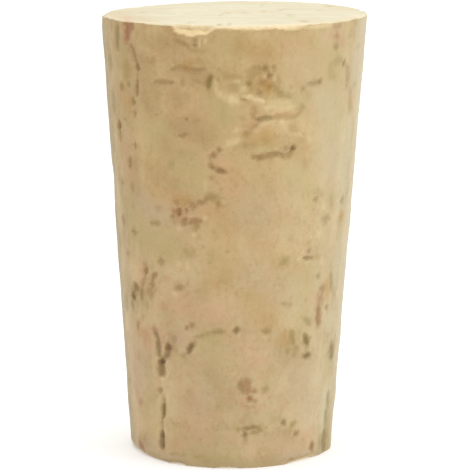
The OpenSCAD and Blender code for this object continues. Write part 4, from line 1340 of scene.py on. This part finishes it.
class Nodes:
    """A few short helpers for building the node tree."""

    def __init__(self, mat):
        mat.use_nodes = True
        self.t = mat.node_tree
        self.t.nodes.clear()
        self.n = 0

    def new(self, kind):
        node = self.t.nodes.new(kind)
        node.location = (220 * (self.n % 12), -260 * (self.n // 12))
        self.n += 1
        return node

    def put(self, sock, v):
        if isinstance(v, bpy.types.NodeSocket):
            self.t.links.new(v, sock)
        else:
            sock.default_value = v

    def math(self, op, a, b=None, c=None, clamp=False):
        m = self.new("ShaderNodeMath")
        m.operation = op
        m.use_clamp = clamp
        self.put(m.inputs[0], a)
        if b is not None:
            self.put(m.inputs[1], b)
        if c is not None:
            self.put(m.inputs[2], c)
        return m.outputs[0]

    def vmath(self, op, a, b):
        m = self.new("ShaderNodeVectorMath")
        m.operation = op
        self.put(m.inputs[0], a)
        self.put(m.inputs[1], b)
        return m.outputs[0]

    def step(self, x, lo, hi, a=0.0, b=1.0):
        m = self.new("ShaderNodeMapRange")
        m.interpolation_type = "SMOOTHSTEP"
        self.put(m.inputs[0], x)
        for i, v in zip((1, 2, 3, 4), (lo, hi, a, b)):
            m.inputs[i].default_value = v
        return m.outputs[0]

    def noise(self, vec, scale, detail=2.0, rough=0.5, distort=0.0):
        m = self.new("ShaderNodeTexNoise")
        self.put(m.inputs["Vector"], vec)
        m.inputs["Scale"].default_value = scale
        m.inputs["Detail"].default_value = detail
        m.inputs["Roughness"].default_value = rough
        m.inputs["Distortion"].default_value = distort
        return m.outputs[0]

    def voronoi(self, vec, scale, feature="F1"):
        m = self.new("ShaderNodeTexVoronoi")
        m.feature = feature
        self.put(m.inputs["Vector"], vec)
        m.inputs["Scale"].default_value = scale
        return m.outputs["Distance"]

    def mix(self, fac, a, b, blend="MIX"):
        m = self.new("ShaderNodeMix")
        m.data_type = "RGBA"
        m.blend_type = blend
        self.put(m.inputs[0], fac)
        self.put(m.inputs[6], a)
        self.put(m.inputs[7], b)
        return m.outputs[2]

    def attr(self, name):
        m = self.new("ShaderNodeAttribute")
        m.attribute_name = name
        return m.outputs["Fac"]


mat = bpy.data.materials.new("natural_cork")
N = Nodes(mat)
co = N.new("ShaderNodeTexCoord").outputs["Object"]
mm = N.vmath("MULTIPLY", co, (1000.0, 1000.0, 1000.0))            # millimetres
tall = N.vmath("MULTIPLY", mm, (1.0, 1.0, 0.45))                 # stretched up the side
flat = N.vmath("MULTIPLY", mm, (0.6, 0.6, 1.3))

A = {k: N.attr("f_" + k) for k in KINDS}
S = {k: N.attr("s_" + k) for k in KINDS}
ring, ringw = N.attr("f_ring"), N.attr("f_ringw")
topf, botf, chipf, deep = N.attr("f_top"), N.attr("f_bot"), N.attr("f_chip"), N.attr("f_deep")

n_big = N.noise(mm, .22, 2, .5)
n_mid = N.noise(mm, .70, 3, .55)
n_mid2 = N.noise(N.vmath("ADD", mm, (31.0, 7.0, 5.0)), .55, 3, .55)
n_fine = N.noise(mm, 2.6, 4, .62)
n_grain = N.noise(mm, 7.0, 3, .65)
n_edge = N.noise(mm, 4.2, 3, .6)
warp_tex = N.new("ShaderNodeTexNoise")
N.put(warp_tex.inputs["Vector"], mm)
warp_tex.inputs["Scale"].default_value = 1.8
n_warp = warp_tex.outputs["Color"]
n_tall = N.noise(tall, 1.6, 3, .6)

# a mark's edge is broken up by noise finer than the mesh, then its strength applies
wob = N.math("SUBTRACT", n_edge, .5)


def mask(kind, lo, hi, k=1.0, amp=.55):
    on = N.step(A[kind], .02, .25)
    x = N.math("MULTIPLY_ADD", N.math("MULTIPLY", wob, amp), on, A[kind])
    return N.math("MULTIPLY", N.math("MULTIPLY", N.step(x, lo, hi), S[kind]), k, clamp=True)


m_dark = mask("dark", .20, .84, 1.0, .55)
m_halo = mask("dark", .02, .50, .35, .5)
m_brown = mask("brown", .16, .85, 1.0, .42)
m_red = mask("red", .10, .95, 1.05)
m_olive = mask("olive", .12, .90)
m_ochre = mask("ochre", .10, .95)
m_pale = mask("pale", .18, .85)
m_pink = mask("pink", .05, .95)
m_grey = mask("grey", .05, .95)
m_sage = mask("sage", .05, .95)
m_painted_highlight = mask("painted_highlight", .05, .95)

zed = N.new("ShaderNodeSeparateXYZ")
N.put(zed.inputs[0], mm)
sep_x = zed.outputs[0]
high = N.step(zed.outputs[2], 2.0, 36.0)
c_base = N.mix(high, lin(191, 165, 124), lin(190, 160, 112))
c_light = N.mix(high, lin(201, 176, 134), lin(200, 172, 123))
c_warm = lin(194, 156, 112)
c_oliv = lin(176, 154, 100)
col = N.mix(N.step(n_big, .35, .68), c_base, c_light)
col = N.mix(N.step(n_mid, .48, .72, 0, .55), col, c_warm)
col = N.mix(N.step(n_mid2, .50, .74, 0, .60), col, c_oliv)
# fine cell structure and faint upright streaks
col = N.mix(N.step(n_tall, .50, .78, 0, .34), col, lin(162, 130, 84))
col = N.mix(N.step(n_fine, .53, .76, 0, .38), col, lin(158, 124, 78))
col = N.mix(N.step(n_fine, .22, .46, .32, 0), col, lin(214, 188, 144))
# growth layers: soft bands and a few finer lines, uneven in width and strength
lay = N.new("ShaderNodeCombineXYZ")
N.put(lay.inputs[0], N.math("MULTIPLY_ADD", n_tall, .25, ring))
N.put(lay.inputs[1], N.math("MULTIPLY", sep_x, .045))
N.put(lay.inputs[2], N.math("MULTIPLY", zed.outputs[2], .035))
band = N.noise(lay.outputs[0], .62, 1, .5)
fine_l = N.noise(lay.outputs[0], 1.9, 2, .55)
line = N.math("MULTIPLY", N.step(fine_l, .56, .68), N.step(n_mid2, .42, .60))
col = N.mix(N.math("MULTIPLY", N.step(band, .50, .66, 0, .34), ringw), col, lin(170, 144, 98))
col = N.mix(N.math("MULTIPLY", N.step(band, .34, .48, .32, 0), ringw), col, lin(212, 186, 142))
col = N.mix(N.math("MULTIPLY", N.math("MULTIPLY", line, ringw), .30), col, lin(156, 122, 76))
# tints and marks; the pale grey-green is painted highlight, and some grey, olive, dark and pale marks are painted shade
# and highlight, as noted where they are given
col = N.mix(m_pink, col, lin(202, 158, 122))
col = N.mix(m_grey, col, lin(188, 166, 134))
col = N.mix(m_sage, col, lin(184, 165, 112))
# painted highlight: pale grey-green
col = N.mix(m_painted_highlight, col, lin(207, 196, 163))
col = N.mix(m_olive, col, lin(146, 123, 68))
col = N.mix(m_ochre, col, lin(180, 138, 72))
# pale: real pale spots, and the painted highlights on ridges, flakes and the lip
col = N.mix(m_pale, col, lin(236, 212, 162))
col = N.mix(m_brown, col, lin(143, 107, 59))
col = N.mix(m_red, col, lin(158, 100, 70))
# flecks: small pores finer than the mesh
vor = N.voronoi(N.vmath("ADD", mm, N.vmath("MULTIPLY", N.vmath("SUBTRACT", n_warp, (.5, .5, .5)), (.5, .5, .5))), .95)
fleck = N.math("MULTIPLY", N.step(vor, .04, .26, 1.0, 0.0), N.step(n_mid, .50, .62))
col = N.mix(N.math("MULTIPLY", fleck, .22), col, lin(148, 114, 70))
col = N.mix(m_halo, col, lin(160, 124, 72))
dark_c = N.mix(N.step(n_edge, .35, .7), lin(88, 64, 34), lin(120, 90, 50))
col = N.mix(m_dark, col, dark_c)
# the ground end and fresh breaks are paler
end_c = N.mix(N.step(n_big, .4, .7, .0, .8), lin(243, 231, 198), lin(239, 222, 182))
end_c = N.mix(N.step(n_mid, .46, .72, 0, .45), end_c, lin(234, 216, 178))
end_c = N.mix(N.step(band, .50, .66, 0, .34), end_c, lin(228, 208, 166))
# pale on the ends includes the painted highlight along the front half of the wide end's rim
end_c = N.mix(m_pale, end_c, lin(255, 233, 190))
end_c = N.mix(N.math("MULTIPLY", line, .14), end_c, lin(214, 190, 144))
end_c = N.mix(N.step(n_fine, .56, .8, 0, .22), end_c, lin(212, 188, 144))
end_c = N.mix(N.math("MULTIPLY", m_sage, .6), end_c, lin(230, 220, 170))
end_c = N.mix(N.math("MULTIPLY", m_pink, .7), end_c, lin(246, 214, 186))
end_c = N.mix(N.math("MULTIPLY", m_red, .8), end_c, lin(238, 184, 150))
end_c = N.mix(N.math("MULTIPLY", m_olive, .7), end_c, lin(204, 190, 152))
end_c = N.mix(N.math("MULTIPLY", m_ochre, .8), end_c, lin(222, 194, 146))
end_c = N.mix(N.math("MULTIPLY", m_brown, .7), end_c, lin(190, 160, 114))
end_c = N.mix(m_dark, end_c, lin(124, 96, 60))
endf = N.math("MAXIMUM", topf, N.math("MULTIPLY", botf, .55))
col = N.mix(endf, col, end_c)
col = N.mix(N.math("MULTIPLY", chipf, .85), col, lin(250, 221, 170))
# painted shade: the riser of a chip is darkened to tan
col = N.mix(N.math("MULTIPLY", N.attr("f_riser_shade"), .85), col, lin(224, 198, 150))

# bump: cells, grain, flecks and the broken edges of the marks
hgt = N.math("MULTIPLY", n_grain, .30)
hgt = N.math("MULTIPLY_ADD", n_fine, .55, hgt)
hgt = N.math("MULTIPLY_ADD", m_dark, -1.1, hgt)
hgt = N.math("MULTIPLY_ADD", fleck, -.35, hgt)
hgt = N.math("MULTIPLY_ADD", N.math("MULTIPLY", line, ringw), -.16, hgt)
hgt = N.math("MULTIPLY_ADD", m_brown, -.25, hgt)
bump = N.new("ShaderNodeBump")
bump.inputs["Strength"].default_value = 0.55
bump.inputs["Distance"].default_value = 0.00022
N.put(bump.inputs["Height"], hgt)

bs = N.new("ShaderNodeBsdfPrincipled")
N.put(bs.inputs["Base Color"], col)
rough = N.math("ADD", N.math("MULTIPLY", n_fine, .18), N.step(m_dark, 0, 1, .66, .80))
N.put(bs.inputs["Roughness"], rough)
bs.inputs["Specular IOR Level"].default_value = 0.30
bs.inputs["Sheen Weight"].default_value = 0.30
bs.inputs["Sheen Roughness"].default_value = 0.36
bs.inputs["Sheen Tint"].default_value = (0.90, 1.0, 0.98, 1)
N.put(bs.inputs["Normal"], bump.outputs[0])
outn = N.new("ShaderNodeOutputMaterial")
N.t.links.new(bs.outputs[0], outn.inputs["Surface"])
me.materials.append(mat)

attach(cork, "root")
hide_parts("stopper")

# ---------------------------------------------------------------------------
# Floor, light and camera
# ---------------------------------------------------------------------------
sc = bpy.context.scene
fm = bpy.data.meshes.new("floor")
fm.from_pydata([(-4, -4, 0), (4, -4, 0), (4, 4, 0), (-4, 4, 0)], [], [(0, 1, 2, 3)])
floor = bpy.data.objects.new("floor", fm)
sc.collection.objects.link(floor)
fmat = bpy.data.materials.new("pale_floor")
F = Nodes(fmat)
fb = F.new("ShaderNodeBsdfPrincipled")
fb.inputs["Base Color"].default_value = (0.93, 0.93, 0.93, 1)
fb.inputs["Roughness"].default_value = 0.9
fb.inputs["Specular IOR Level"].default_value = 0.1
fb.inputs["Emission Color"].default_value = (1, 1, 1, 1)
fb.inputs["Emission Strength"].default_value = 0.25
fo = F.new("ShaderNodeOutputMaterial")
F.t.links.new(fb.outputs[0], fo.inputs["Surface"])
fm.materials.append(fmat)

world = bpy.data.worlds.new("studio")
sc.world = world
world.use_nodes = True
bg = world.node_tree.nodes["Background"]
bg.inputs["Color"].default_value = (1.0, 1.0, 1.0, 1)
bg.inputs["Strength"].default_value = 0.62


def area(name, loc, aim, size, power, color=(1, 1, 1)):
    d = bpy.data.lights.new(name, "AREA")
    d.shape = "DISK"
    d.size = size
    d.energy = power
    d.color = color
    o = bpy.data.objects.new(name, d)
    o.location = loc
    v = np.array(aim) - np.array(loc)
    from mathutils import Vector
    o.rotation_euler = Vector(v).to_track_quat("-Z", "Y").to_euler()
    sc.collection.objects.link(o)
    return o


area("overhead", (0.0, 0.12, 1.2), (0, 0.10, 0), 1.1, 6.4)
area("front_fill", (-0.25, -0.9, 0.75), (0, 0, 0.02), 0.7, 0.9)
area("right", (0.85, -0.30, 0.30), (0, 0, 0.02), 0.6, 2.7, (0.80, 0.93, 1.0))

cam_d = bpy.data.cameras.new("camera")
cam_d.sensor_width = 36.0
cam_d.lens = FOC / 470.0 * 36.0
cam_d.clip_start = 0.01
cam_d.clip_end = 20
cam = bpy.data.objects.new("camera", cam_d)
cam.location = tuple(CAM * 0.001)
cam.rotation_euler = (math.pi / 2 - PITCH, 0, 0)
sc.collection.objects.link(cam)
sc.camera = cam
sc.view_settings.view_transform = "Standard"
sc.view_settings.look = "None"
